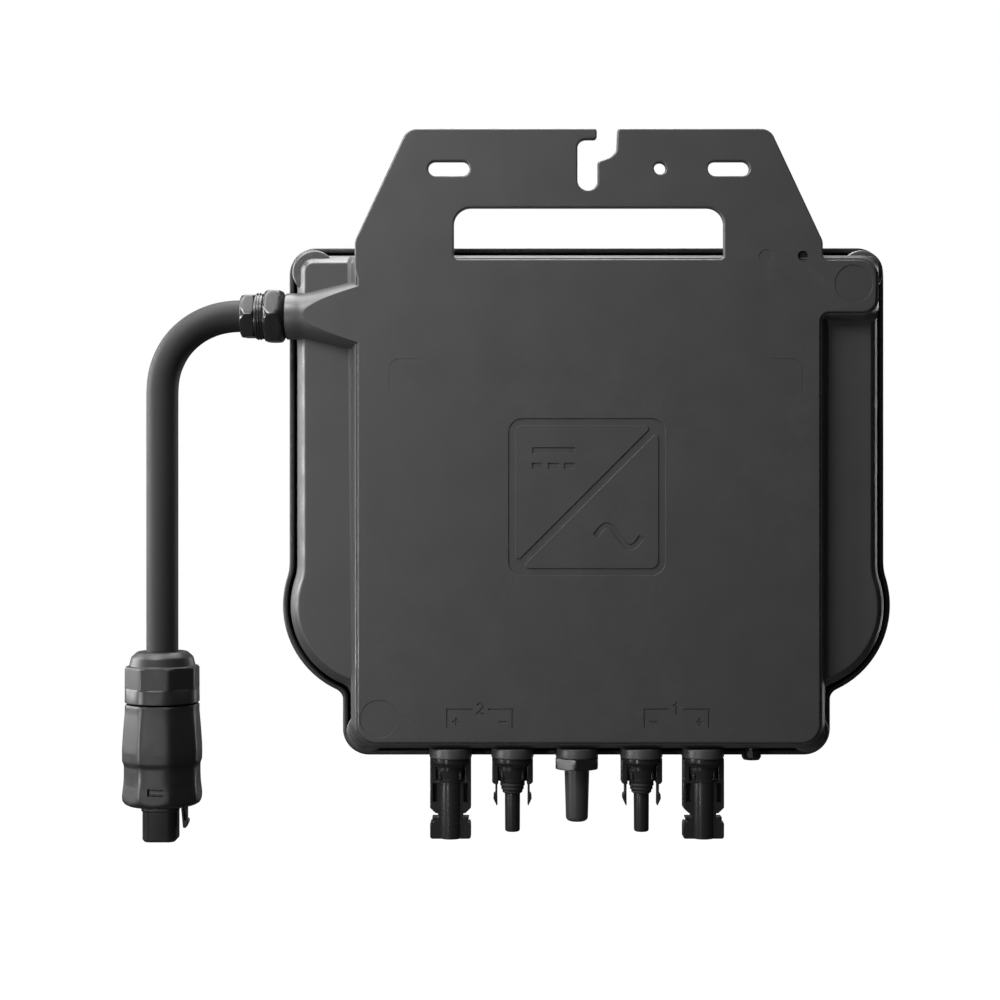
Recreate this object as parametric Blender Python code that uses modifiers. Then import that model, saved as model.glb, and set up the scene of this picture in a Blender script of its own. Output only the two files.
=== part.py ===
"""A two-channel solar micro inverter, built as separate pieces with real joints.

Frame: metres, +Z up, the bracket's flat face towards -Y. The origin is on that face, on the strip
between the hook slot and the carrying handle, where a rail under a solar panel holds the inverter.
All dimensions below are in millimetres; MM turns them into metres.
"""

import math

import bmesh
import bpy
from mathutils import Matrix, Vector

MM = 0.001
GAP = 0.3                 # space left between neighbouring pieces
ARC_STEP = 18.0           # degrees turned by each straight piece of an arc
OVER = 5.0                # how far a cutter runs past the piece it cuts

# Depths behind the bracket's face
PLATE_BACK = 4.0
WING_FACE = 7.0
RIM_FRONT = 20.5
BACK = 41.2
FLOOR = 2.4               # thickness of the back cover
WALL = 2.5                # thickness of the cast housing
SEAL_THICK = 1.4

# Body outline, as seen from the front
RIM_HALF_WIDTH = 127.8
RIM_TOP = -17.6
RIM_BOTTOM = -235.6
RIM_TOP_RADIUS = 11.6
RIM_BOTTOM_RADIUS = 11.2
LOBE_X = 90.5
LOBE_Z = -171.2
LOBE_RADIUS = 40.5
LOWER_HALF_WIDTH = 104.8
RIM_WALL = 2.15
HOUSING_INSET = 3.3       # housing wall, in from the rim's outer side

# Bracket and raised panel
BRACKET_TOP = 29.6
BRACKET_TOP_HALF = 76.0
BRACKET_HALF = 98.1
PANEL_HALF = 98.6
PANEL_TOP = -25.3
PANEL_BOTTOM = -229.2
BLOCK_RIGHT = 121.4
BLOCK_BOTTOM = -48.4

# Gland, cable and AC plug
GLAND_Y = 10.0
GLAND_Z = -48.2
BOSS_END = -127.8
CABLE_DIAMETER = 13.4
PLUG_X = -180.4
PLUG_TOP = -190.0

# Row of connectors under the body
ROW_Y = 9.5
SOCKET_X = (48.8, -58.1)          # channel 1, channel 2
DC_PLUG_X = (22.7, -31.9)
ANTENNA_X = -4.6
ROW_TOP = -235.0
BOSS_RADIUS = 9.0

# Inside
BOARD_Y = 26.0
BOARD_THICK = 1.6


# ---------------------------------------------------------------- scene and materials

def clear_scene():
    """Remove every object and leave two collections, one for the pieces and one for cutters."""
    for obj in list(bpy.data.objects):
        bpy.data.objects.remove(obj, do_unlink=True)
    for name in ("micro_inverter", "cutters"):
        collection = bpy.data.collections.new(name)
        bpy.context.scene.collection.children.link(collection)
    return bpy.data.collections["micro_inverter"], bpy.data.collections["cutters"]


PARTS, CUTTERS = clear_scene()

FINISHES = {
    "cast_black": ((0.055, 0.056, 0.060), 0.52, 0.3),
    "black_plastic": ((0.024, 0.024, 0.026), 0.45, 0.0),
    "black_rubber": ((0.020, 0.020, 0.021), 0.75, 0.0),
    "cable_jacket": ((0.035, 0.035, 0.037), 0.55, 0.0),
    "steel": ((0.55, 0.55, 0.56), 0.35, 1.0),
    "brass": ((0.70, 0.52, 0.24), 0.30, 1.0),
    "tinned": ((0.72, 0.72, 0.74), 0.28, 1.0),
    "board_green": ((0.03, 0.16, 0.07), 0.45, 0.0),
    "ferrite": ((0.07, 0.07, 0.075), 0.65, 0.0),
    "copper_tape": ((0.72, 0.45, 0.10), 0.40, 0.0),
    "capacitor_black": ((0.04, 0.05, 0.09), 0.35, 0.0),
    "film_yellow": ((0.70, 0.50, 0.06), 0.40, 0.0),
    "relay_blue": ((0.05, 0.12, 0.34), 0.35, 0.0),
    "potting_grey": ((0.16, 0.16, 0.17), 0.70, 0.0),
    "wire_brown": ((0.16, 0.07, 0.03), 0.50, 0.0),
    "wire_blue": ((0.03, 0.12, 0.45), 0.50, 0.0),
    "wire_green": ((0.20, 0.45, 0.05), 0.50, 0.0),
}


def finish(obj, name, finish_name):
    """Name a piece, give it a material of its own and shade its round sides smooth."""
    colour, roughness, metallic = FINISHES[finish_name]
    material = bpy.data.materials.new(name + "_" + finish_name)
    material.use_nodes = True
    shader = material.node_tree.nodes["Principled BSDF"]
    shader.inputs["Base Color"].default_value = (*colour, 1.0)
    shader.inputs["Roughness"].default_value = roughness
    shader.inputs["Metallic"].default_value = metallic
    obj.name = name
    obj.data.materials.clear()
    obj.data.materials.append(material)
    if obj.type == "MESH":
        obj.data.shade_smooth()
        obj.data.set_sharp_from_angle(angle=math.radians(30))
    return obj


# ---------------------------------------------------------------- outlines

def rounded(corners):
    """Points of a closed outline from (x, z, radius) corners, each corner rounded by an arc."""
    points = []
    count = len(corners)
    for i, (x, z, radius) in enumerate(corners):
        here = Vector((x, z))
        if radius == 0:
            points.append(here)
            continue
        back = (Vector(corners[i - 1][:2]) - here).normalized()
        ahead = (Vector(corners[(i + 1) % count][:2]) - here).normalized()
        half = back.angle(ahead) / 2
        centre = here + (back + ahead).normalized() * (radius / math.sin(half))
        start = here + back * (radius / math.tan(half)) - centre
        turn = math.pi - 2 * half
        if back.x * ahead.y - back.y * ahead.x > 0:
            turn = -turn
        steps = max(2, math.ceil(abs(math.degrees(turn)) / ARC_STEP))
        for k in range(steps + 1):
            points.append(centre + Matrix.Rotation(turn * k / steps, 2) @ start)
    return points


def box_outline(x0, x1, z0, z1, radius=0.0):
    """A rectangle, with round corners where a radius is given."""
    return rounded([(x0, z0, radius), (x1, z0, radius), (x1, z1, radius), (x0, z1, radius)])


def circle(x, z, radius, steps=16):
    """A round outline."""
    angles = [math.tau * k / steps for k in range(steps)]
    return [Vector((x + radius * math.cos(a), z + radius * math.sin(a))) for a in angles]


def body_outline(inset):
    """The housing's outline: a tall box with a round lobe low on each side, moved in by inset."""
    half = RIM_HALF_WIDTH - inset
    low_half = LOWER_HALF_WIDTH - inset
    top = RIM_TOP - inset
    bottom = RIM_BOTTOM + inset
    lobe = LOBE_RADIUS - inset
    side = rounded([(0, top, 0), (half, top, RIM_TOP_RADIUS - inset), (half, LOBE_Z, 0)])[1:-1]
    first = math.asin(min(1.0, math.sqrt(lobe ** 2 - (half - LOBE_X) ** 2) / lobe))
    last = -math.acos((low_half - LOBE_X) / lobe)
    steps = math.ceil(math.degrees(first - last) / ARC_STEP)
    for k in range(steps + 1):
        angle = first + (last - first) * k / steps
        side.append(Vector((LOBE_X + lobe * math.cos(angle), LOBE_Z + lobe * math.sin(angle))))
    side += rounded([(low_half, LOBE_Z, 0), (low_half, bottom, RIM_BOTTOM_RADIUS - inset),
                     (0, bottom, 0)])[1:-1]
    return side + [Vector((-p.x, p.y)) for p in reversed(side)]


# ---------------------------------------------------------------- solids

TURNS = {
    "X": Matrix(((0, 0, 1), (1, 0, 0), (0, 1, 0))),
    "Y": Matrix(((1, 0, 0), (0, 0, -1), (0, 1, 0))),
    "Z": Matrix.Identity(3),
}


def place(obj, matrix, collection=PARTS):
    """Put an object in its collection at a place given in metres."""
    collection.objects.link(obj)
    obj.matrix_world = matrix
    return obj


def prism(name, outline, low, high, along="Y", collection=PARTS):
    """A flat outline pushed from low to high along an axis, made as a filled curve."""
    curve = bpy.data.curves.new(name, "CURVE")
    curve.dimensions = "2D"
    curve.fill_mode = "BOTH"
    curve.extrude = (high - low) / 2 * MM
    spline = curve.splines.new("POLY")
    spline.points.add(len(outline) - 1)
    spline.use_cyclic_u = True
    for point, place_2d in zip(spline.points, outline):
        point.co = (place_2d.x * MM, place_2d.y * MM, 0, 1)
    source = bpy.data.objects.new(name + "_curve", curve)
    CUTTERS.objects.link(source)
    evaluated = source.evaluated_get(bpy.context.evaluated_depsgraph_get())
    mesh = bpy.data.meshes.new_from_object(evaluated)
    bpy.data.objects.remove(source, do_unlink=True)
    shell = bmesh.new()
    shell.from_mesh(mesh)
    bmesh.ops.remove_doubles(shell, verts=shell.verts, dist=0.00001)
    bmesh.ops.dissolve_limit(shell, angle_limit=0.001, verts=shell.verts, edges=shell.edges)
    bmesh.ops.recalc_face_normals(shell, faces=shell.faces)
    shell.to_mesh(mesh)
    shell.free()
    middle = (low + high) / 2 * MM
    offset = TURNS[along] @ Vector((0, 0, middle if along != "Y" else -middle))
    return place(bpy.data.objects.new(name, mesh),
                 Matrix.Translation(offset) @ TURNS[along].to_4x4(), collection)


def turned(name, profile, centre, axis, steps=16, phase=0.0, ring=False, collection=PARTS):
    """A profile of (radius, height) points turned about an axis, its outer side top to bottom."""
    mesh = bpy.data.meshes.new(name)
    verts = [(radius * MM, 0, height * MM) for radius, height in profile]
    edges = [(k, k + 1) for k in range(len(verts) - 1)]
    if ring:
        edges.append((len(verts) - 1, 0))
    mesh.from_pydata(verts, edges, [])
    obj = bpy.data.objects.new(name, mesh)
    screw = obj.modifiers.new("turn", "SCREW")
    screw.steps = steps
    screw.render_steps = steps
    screw.use_merge_vertices = True
    screw.merge_threshold = 0.00001
    aim = Vector((0, 0, 1)).rotation_difference(Vector(axis)).to_matrix().to_4x4()
    matrix = Matrix.Translation(Vector(centre) * MM) @ aim @ Matrix.Rotation(math.radians(phase), 4, "Z")
    return place(obj, matrix, collection)


def cylinder(name, radius, low, high, centre, axis, steps=16, phase=0.0, chamfer=0.0,
             collection=PARTS):
    """A plain or chamfered cylinder from low to high along its axis."""
    profile = [(0, high), (radius, high), (radius, low), (0, low)]
    if chamfer:
        profile = [(0, high), (radius - chamfer, high), (radius, high - chamfer),
                   (radius, low + chamfer), (radius - chamfer, low), (0, low)]
    return turned(name, profile, centre, axis, steps, phase, collection=collection)


def block(name, x, y, z, bevel=0.0, collection=PARTS):
    """A box between two corners, with its edges rounded where a bevel is given."""
    mesh = bpy.data.meshes.new(name)
    cube = bmesh.new()
    bmesh.ops.create_cube(cube, size=1.0)
    size = Vector((x[1] - x[0], y[1] - y[0], z[1] - z[0])) * MM
    bmesh.ops.scale(cube, vec=size, verts=cube.verts)
    cube.to_mesh(mesh)
    cube.free()
    obj = bpy.data.objects.new(name, mesh)
    if bevel:
        add_bevel(obj, bevel)
    centre = Vector((x[0] + x[1], y[0] + y[1], z[0] + z[1])) / 2 * MM
    return place(obj, Matrix.Translation(centre), collection)


def add_bevel(obj, width, segments=1):
    """Round every sharp edge of a piece."""
    bevel = obj.modifiers.new("edges", "BEVEL")
    bevel.width = width * MM
    bevel.segments = segments
    bevel.limit_method = "ANGLE"
    bevel.angle_limit = math.radians(40)
    return obj


def round_rim(obj, depth, width, segments=2):
    """Round only the edges that lie at one depth, such as the front rim of a casting."""
    mesh = obj.data
    weights = mesh.attributes.new("bevel_weight_edge", "FLOAT", "EDGE")
    turn = obj.matrix_world
    for edge in mesh.edges:
        ends = [(turn @ mesh.vertices[v].co).y for v in edge.vertices]
        on_rim = all(abs(y - depth * MM) < 1e-6 for y in ends)
        weights.data[edge.index].value = 1.0 if on_rim else 0.0
    bevel = obj.modifiers.new("rim", "BEVEL")
    bevel.width = width * MM
    bevel.segments = segments
    bevel.limit_method = "WEIGHT"
    return obj


def combine(obj, other, operation):
    """Join or cut a piece with another shape, which becomes a hidden cutter."""
    modifier = obj.modifiers.new(operation.lower(), "BOOLEAN")
    modifier.operation = operation
    modifier.object = other
    modifier.solver = "EXACT"
    other.hide_render = True
    other.display_type = "WIRE"
    for collection in list(other.users_collection):
        collection.objects.unlink(other)
    CUTTERS.objects.link(other)
    return obj


def join(obj, other):
    """Add a shape to a piece."""
    return combine(obj, other, "UNION")


def cut(obj, other):
    """Take a shape out of a piece."""
    return combine(obj, other, "DIFFERENCE")


def tube(name, route, diameter, resolution=2):
    """A round lead along a list of points, as a curve with filled ends."""
    curve = bpy.data.curves.new(name, "CURVE")
    curve.dimensions = "3D"
    curve.bevel_depth = diameter / 2 * MM
    curve.bevel_resolution = resolution
    curve.use_fill_caps = True
    spline = curve.splines.new("POLY")
    spline.points.add(len(route) - 1)
    for point, position in zip(spline.points, route):
        point.co = (*(Vector(position) * MM), 1)
    return place(bpy.data.objects.new(name, curve), Matrix.Identity(4))


def smooth_route(points, steps):
    """Points along the smooth curve that passes through a route's own points."""
    path = [Vector(p) for p in points]
    path = [2 * path[0] - path[1]] + path + [2 * path[-1] - path[-2]]
    result = []
    for before, start, end, after in zip(path, path[1:], path[2:], path[3:]):
        for k in range(steps):
            t = k / steps
            result.append(0.5 * (2 * start + (end - before) * t
                                 + (2 * before - 5 * start + 4 * end - after) * t * t
                                 + (3 * start - before - 3 * end + after) * t ** 3))
    result.append(path[-2])
    return result


# ---------------------------------------------------------------- casings

def front_outline():
    """The flat front: bracket above, raised panel below, one block out to the right corner."""
    return rounded([
        (-BRACKET_TOP_HALF, BRACKET_TOP, 6.0), (BRACKET_TOP_HALF, BRACKET_TOP, 6.0),
        (BRACKET_HALF, -17.5, 6.0), (BRACKET_HALF, PANEL_TOP, 2.4),
        (BLOCK_RIGHT, PANEL_TOP, 7.2), (BLOCK_RIGHT, BLOCK_BOTTOM, 1.0),
        (PANEL_HALF, BLOCK_BOTTOM, 4.0), (PANEL_HALF, PANEL_BOTTOM, 8.0),
        (-PANEL_HALF, PANEL_BOTTOM, 8.0), (-PANEL_HALF, -31.0, 0), (-BRACKET_HALF, -17.5, 6.0)])


def bracket_cutters():
    """The openings of the bracket: handle, hook slot with its entry, two bolt slots, one hole."""
    low, high = -OVER, PLATE_BACK + OVER
    shapes = [
        rounded([(-56.5, -25.1, 1.7), (56.5, -25.1, 1.7), (56.5, -3.6, 7.1), (-56.5, -3.6, 7.1)]),
        rounded([(-4.8, 3.8, 4.1), (3.6, 3.8, 4.1), (3.6, 25.1, 0), (-4.8, 25.1, 4.0)]),
        rounded([(3.4, 16.5, 0), (11.6, 16.5, 8.1), (11.6, 35.0, 0), (3.4, 35.0, 0)]),
        circle(29.8, 12.9, 2.45, 12),
    ]
    for side in (-1, 1):
        shapes.append(box_outline(side * 58.6 - 8.65, side * 58.6 + 8.65, 9.75, 15.85, 3.04))
    return [prism("bracket_cutter", shape, low, high, collection=CUTTERS) for shape in shapes]


def screw_places():
    """Centres of the four screws that hold the back cover."""
    return [(-114.5, -30.5), (114.5, -30.5), (-95.0, -222.5), (95.0, -222.5)]


def make_front_housing():
    """Cast front: deep shell with lower wings, raised panel, bracket and connector bosses."""
    floor_back = BACK - FLOOR
    wall_end = floor_back - SEAL_THICK - 2 * GAP
    shell = prism("front_housing", body_outline(HOUSING_INSET), WING_FACE, wall_end)
    round_rim(shell, WING_FACE, 4.5)
    plate = prism("plate", front_outline(), 0, PLATE_BACK)
    round_rim(plate, 0, 0.8, 1)
    step = prism("step", rounded([
        (-PANEL_HALF, PANEL_TOP, 2.0), (BLOCK_RIGHT, PANEL_TOP, 7.2), (BLOCK_RIGHT, BLOCK_BOTTOM, 1.0),
        (PANEL_HALF, BLOCK_BOTTOM, 4.0), (PANEL_HALF, PANEL_BOTTOM, 8.0),
        (-PANEL_HALF, PANEL_BOTTOM, 8.0)]), PLATE_BACK - 1.0, WING_FACE + 2.0)
    join(shell, step)
    join(shell, plate)
    # The gland's boss flares into the panel and is cut off level with the panel's face.
    boss = turned("gland_boss", [(0, 33.5), (17.5, 33.5), (14.2, 25.0), (11.6, 12.0), (9.8, 2.0),
                                 (9.8, 0), (0, 0)], (BOSS_END, GLAND_Y, GLAND_Z), (1, 0, 0), 24)
    clip = block("boss_clip", (-135, -90), (-20, 0.0), (-75, -20))
    cut(boss, clip)
    join(shell, boss)
    for x in (*SOCKET_X, *DC_PLUG_X, ANTENNA_X):
        join(shell, cylinder("row_boss", BOSS_RADIUS, 0, 14.0, (x, ROW_Y, ROW_TOP), (0, 0, 1), 20))
    # Hollow inside, open at the back.
    cavity = prism("cavity", body_outline(HOUSING_INSET + WALL), WING_FACE + WALL, wall_end + OVER)
    panel_cavity = prism("panel_cavity", box_outline(-95.5, 95.5, -225.0, -33.0, 5.0), 3.2, 15.0)
    join(cavity, panel_cavity)
    cut(shell, cavity)
    for x, z in screw_places():
        post = cylinder("screw_post", 5.0, WING_FACE + 1.0, wall_end, (x, 0, z), (0, 1, 0), 12)
        join(shell, post)
        cut(shell, cylinder("screw_bore", 2.0, 20.0, wall_end + OVER, (x, 0, z), (0, 1, 0), 10))
    for cutter in bracket_cutters():
        cut(shell, cutter)
    # Earth hole beside a shallow pin mark, and the bores that the connectors pass through.
    cut(shell, cylinder("earth_hole", 2.25, -OVER, 3.0, (89.7, 0, -23.8), (0, 1, 0), 12))
    cut(shell, cylinder("gland_bore", 6.6, -OVER, 40.0, (BOSS_END, GLAND_Y, GLAND_Z), (1, 0, 0), 16))
    for x in (*SOCKET_X, *DC_PLUG_X, ANTENNA_X):
        cut(shell, cylinder("row_bore", 5.0, -OVER, 20.0, (x, ROW_Y, ROW_TOP), (0, 0, 1), 16))
    cut(shell, cylinder("vent_bore", 3.3, 0, 12.0, (70.0, 14.0, -236.0), (0, 0, 1), 12))
    return finish(shell, "front_housing", "cast_black")


def make_back_cover():
    """Flat back with a raised lip that stands round the housing, leaving a narrow groove."""
    cover = prism("back_cover", body_outline(0), RIM_FRONT, BACK)
    round_rim(cover, BACK, 1.5, 1)
    cut(cover, prism("cover_hollow", body_outline(RIM_WALL), RIM_FRONT - OVER, BACK - FLOOR))
    for x, z in screw_places():
        cut(cover, cylinder("screw_hole", 2.3, 30.0, BACK + OVER, (x, 0, z), (0, 1, 0), 12))
    return finish(cover, "back_cover", "cast_black")


def make_cover_seal():
    """Rubber frame squeezed between the housing's wall and the back cover."""
    front = BACK - FLOOR - SEAL_THICK - GAP
    seal = prism("cover_seal", body_outline(HOUSING_INSET), front, front + SEAL_THICK)
    cut(seal, prism("seal_hole", body_outline(HOUSING_INSET + WALL + 0.5), front - OVER, BACK))
    return finish(seal, "cover_seal", "black_rubber")


def make_cover_screws():
    """Four pan-head screws, from the back cover into the housing's posts."""
    for number, (x, z) in enumerate(screw_places(), 1):
        profile = [(0, 1.6), (3.0, 1.6), (3.9, 0.6), (3.9, 0.0), (1.6, 0.0), (1.6, -15.0), (0, -15.0)]
        screw = turned("cover_screw", profile, (x, BACK + GAP, z), (0, 1, 0), 12)
        cut(screw, prism("drive", circle(x, z, 1.5, 6), BACK + 0.9, BACK + OVER))
        finish(screw, f"cover_screw_{number}", "steel")


def make_vent_plug():
    """Breather plug under the body, which lets damp air out."""
    profile = [(0, 9.0), (3.0, 9.0), (3.0, 3.9), (4.2, 3.9), (4.2, 1.2), (3.4, 0), (0, 0)]
    plug = turned("vent_plug", profile, (70.0, 14.0, -236.6), (0, 0, 1), 12)
    return finish(plug, "vent_plug", "black_plastic")


# ---------------------------------------------------------------- electronics

def make_board():
    """Main circuit board, with its components towards the front."""
    board = block("main_board", (-92, 92), (BOARD_Y, BOARD_Y + BOARD_THICK), (-214, -38))
    finish(board, "main_board", "board_green")
    slab = block("potting_slab", (-92, 92), (BOARD_Y + BOARD_THICK + 1.0, BACK - FLOOR - 1.5), (-214, -38), 2.0)
    finish(slab, "potting_slab", "potting_grey")


def on_board(name, x, z, size, bevel, finish_name):
    """A box-shaped component standing on the board."""
    half_x, height, half_z = size[0] / 2, size[1], size[2] / 2
    part = block(name, (x - half_x, x + half_x), (BOARD_Y - GAP - height, BOARD_Y - GAP),
                 (z - half_z, z + half_z), bevel)
    return finish(part, name, finish_name)


def make_transformer(number, x, z):
    """Flat ferrite core with a window, and the winding round its middle leg."""
    top, bottom = BOARD_Y - GAP - 17.0, BOARD_Y - GAP
    core = prism(f"transformer_core_{number}", box_outline(x - 19, x + 19, z - 16, z + 16), top, bottom)
    for side in (-1, 1):
        window = box_outline(x + side * 10.5 - 4.5, x + side * 10.5 + 4.5, z - 17, z + 17)
        cut(core, prism("window", window, top + 4.0, bottom - 4.0))
    finish(core, f"transformer_core_{number}", "ferrite")
    middle = (top + bottom) / 2
    winding = prism("winding", box_outline(x - 14.5, x + 14.5, z - 20, z + 20, 3.0), middle - 4.0, middle + 4.0)
    cut(winding, prism("leg", box_outline(x - 6.4, x + 6.4, z - 16.5, z + 16.5), top, bottom))
    finish(winding, f"transformer_winding_{number}", "copper_tape")


def make_components():
    """Power parts on the board: transformers, capacitors, relays, choke, heat path and radio."""
    make_transformer(1, 50.0, -150.0)
    make_transformer(2, -50.0, -150.0)
    choke = turned("output_choke", [(15, 6.5), (15, -6.5), (7, -6.5), (7, 6.5)],
                   (-50.0, BOARD_Y - GAP - 7.0, -95.0), (0, -1, 0), 16, ring=True)
    finish(choke, "output_choke", "copper_tape")
    for number, x in enumerate((62.0, 43.0, -25.0, -44.0), 1):
        can = cylinder("can", 8.0, 0, 16.0, (x, BOARD_Y - GAP, -196.0), (0, -1, 0), 14, chamfer=0.6)
        finish(can, f"bus_capacitor_{number}", "capacitor_black")
    on_board("film_capacitor", 2.0, -100.0, (26, 15, 13), 0.8, "film_yellow")
    on_board("grid_relay_1", -74.0, -60.0, (18, 14, 20), 0.6, "relay_blue")
    on_board("grid_relay_2", -52.0, -60.0, (18, 14, 20), 0.6, "relay_blue")
    on_board("ac_terminal_block", -82.0, -90.0, (12, 9, 22), 0.5, "relay_blue")
    on_board("heat_spreader", 52.0, -84.0, (64, 16, 26), 1.0, "tinned")
    pad = block("thermal_pad", (22, 82), (BOARD_Y - 2 * GAP - 18.0, BOARD_Y - 2 * GAP - 16.0), (-95, -73))
    finish(pad, "thermal_pad", "potting_grey")
    on_board("radio_board", -4.6, -205.0, (20, 3, 14), 0.4, "board_green")


def make_ac_leads():
    """Three leads from the gland down to the terminal block, side by side."""
    leads = (("earth", "wire_green", 12.0, -51.0, -100.0, -96.0),
             ("neutral", "wire_blue", 15.0, GLAND_Z, -97.0, -90.0),
             ("live", "wire_brown", 12.0, -45.5, -94.0, -84.0))
    for name, colour, y, start, turn_x, end in leads:
        route = [(-112, y, start), (-105, y, start), (turn_x - 1.5, y + 0.5, start - 2), (turn_x, y + 2, start - 8),
                 (turn_x, 19, end + 8), (turn_x + 1.5, 20, end + 1.5), (turn_x + 4, 20, end), (-88.5, 20, end)]
        finish(tube("lead", smooth_route(route, 2), 2.6), f"ac_lead_{name}", colour)


# ---------------------------------------------------------------- gland, cable and AC plug

def make_gland():
    """Cable gland: body in the boss, sealing ring, rubber bush and dome nut that squeezes it."""
    body = turned("gland_body", [(9.6, -0.3), (11.6, -2.0), (12.3, -3.4), (12.3, -7.0), (11.2, -9.0),
                                 (9.2, -10.6), (8.5, -10.7), (8.5, -13.2), (7.4, -13.2), (7.4, -15.5),
                                 (7.1, -15.5), (7.1, -0.3)],
                  (BOSS_END, GLAND_Y, GLAND_Z), (1, 0, 0), 12, ring=True)
    finish(body, "gland_body", "black_plastic")
    ring = turned("gland_seal_ring", [(9.4, 0.0), (9.4, -1.4), (8.8, -1.4), (8.8, 0.0)],
                  (BOSS_END - 11.3, GLAND_Y, GLAND_Z), (1, 0, 0), 16, ring=True)
    finish(ring, "gland_seal_ring", "black_rubber")
    nut = turned("gland_nut", [(9.6, -13.7), (10.2, -14.6), (10.2, -17.0), (9.2, -18.8), (7.1, -19.2),
                               (7.1, -18.0), (7.75, -17.2), (7.75, -13.7)],
                 (BOSS_END, GLAND_Y, GLAND_Z), (1, 0, 0), 12, phase=15, ring=True)
    finish(nut, "gland_nut", "black_plastic")
    return nut


def cable_points():
    """Route of the AC cable: straight out of the gland, one wide bend, then straight down."""
    return [(-129.0, GLAND_Y, GLAND_Z), (-141.0, GLAND_Y, GLAND_Z), (-150.5, GLAND_Y, -48.2),
            (-159.0, GLAND_Y, -49.9), (-167.0, GLAND_Y, -53.9), (-173.6, GLAND_Y, -60.0),
            (-178.0, GLAND_Y, -67.6), (-180.1, GLAND_Y, -76.0), (PLUG_X, GLAND_Y, -88.0),
            (PLUG_X, GLAND_Y, -106.0), (PLUG_X, GLAND_Y, -126.0), (PLUG_X, GLAND_Y, -146.0),
            (PLUG_X, GLAND_Y, -166.0), (PLUG_X, GLAND_Y, -182.0), (PLUG_X, GLAND_Y, -198.0)]


def make_cable():
    """Round AC cable from inside the gland to inside the plug's nut."""
    cable = tube("ac_cable", smooth_route(cable_points(), 2), CABLE_DIAMETER, 4)
    return finish(cable, "ac_cable", "cable_jacket")


def plug_part(name, profile, steps, phase, ring, finish_name):
    """One turned piece of the AC plug, its heights measured from the plug's top."""
    part = turned(name, profile, (PLUG_X, GLAND_Y, PLUG_TOP), (0, 0, 1), steps, phase, ring)
    return finish(part, name, finish_name)


def make_ac_plug():
    """Round AC plug: cap nut, rubber seal, ribbed shell, keyed insert with contacts, one latch."""
    corner = 9.0
    plug_part("plug_nut", [(8.2, 0.0), (11.0, -0.9), (13.2, -3.2), (14.4, -5.8), (15.6, -6.8),
                           (15.9, -21.9), (13.2, -21.9), (13.2, -12.0), (7.1, -6.0), (7.1, -0.2)],
              16, corner, True, "black_plastic")
    plug_part("plug_seal", [(12.6, -12.4), (12.6, -20.0), (7.2, -20.0), (7.2, -11.5), (8.2, -9.0)],
              12, 0, True, "black_rubber")
    shell = turned("plug_shell", [(12.4, -22.4), (16.0, -22.4), (15.9, -25.0), (16.6, -33.0),
                                  (17.0, -40.0), (16.9, -45.0), (16.2, -49.0), (16.4, -55.0),
                                  (17.3, -60.5), (17.0, -62.6), (13.5, -64.8), (10.4, -64.8),
                                  (10.4, -28.0), (12.4, -26.0)],
                   (PLUG_X, GLAND_Y, PLUG_TOP), (0, 0, 1), 16, corner, True)
    cut(shell, block("key_mark", (-187.2, -179.8), (-20, -5.0), (-249.3, -246.2)))
    finish(shell, "plug_shell", "black_plastic")
    top, low = PLUG_TOP - 30.0, -270.4
    insert = prism("plug_insert", rounded([(-7.9, 4.6, 2.0), (-7.9, -7.4, 4.4), (7.7, -7.4, 4.4),
                                           (7.7, 4.6, 2.0)]), low, top, "Z")
    insert.location.x = (PLUG_X - 0.6) * MM
    insert.location.y = (GLAND_Y + 1.2) * MM
    for k in range(3):
        x, y = contact_place(k)
        cut(insert, cylinder("contact_bore", 2.1, -1.0, 44.0, (x, y, low - OVER), (0, 0, 1), 12))
        pin = cylinder("pin", 1.7, 0, 30.0, (x, y, low + 3.0), (0, 0, 1), 10, chamfer=0.5)
        finish(pin, f"plug_contact_{k + 1}", "brass")
    finish(insert, "plug_insert", "black_plastic")


def contact_place(number):
    """Place of one of the plug's three contacts, on a triangle round its axis."""
    angle = math.radians(90 + 120 * number)
    return PLUG_X - 0.6 + 4.4 * math.cos(angle), GLAND_Y + 0.4 + 3.6 * math.sin(angle)


def hang_on(obj, name, pivot):
    """Parent a moving piece to an empty that stands on its joint's axis."""
    empty = bpy.data.objects.new(name, None)
    PARTS.objects.link(empty)
    empty.location = Vector(pivot) * MM
    bpy.context.view_layer.update()
    world = obj.matrix_world.copy()
    obj.parent = empty
    obj.matrix_parent_inverse = empty.matrix_world.inverted()
    obj.matrix_world = world


def make_plug_latch():
    """Barbed latch beside the insert, which flexes in to let the plug go."""
    x = PLUG_X
    outline = [Vector(p) for p in ((x + 8.3, -240.0), (x + 9.3, -240.0), (x + 9.3, -256.2),
                                   (x + 9.9, -262.2), (x + 11.2, -261.2), (x + 11.3, -262.4),
                                   (x + 10.2, -264.8), (x + 9.1, -264.6), (x + 8.3, -256.2))]
    latch = prism("plug_latch", outline, GLAND_Y - 2.6, GLAND_Y + 2.6)
    finish(latch, "plug_latch", "black_plastic")
    hang_on(latch, "plug_latch_pivot", (x + 8.8, GLAND_Y, -240.0))


# ---------------------------------------------------------------- DC connectors

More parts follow.
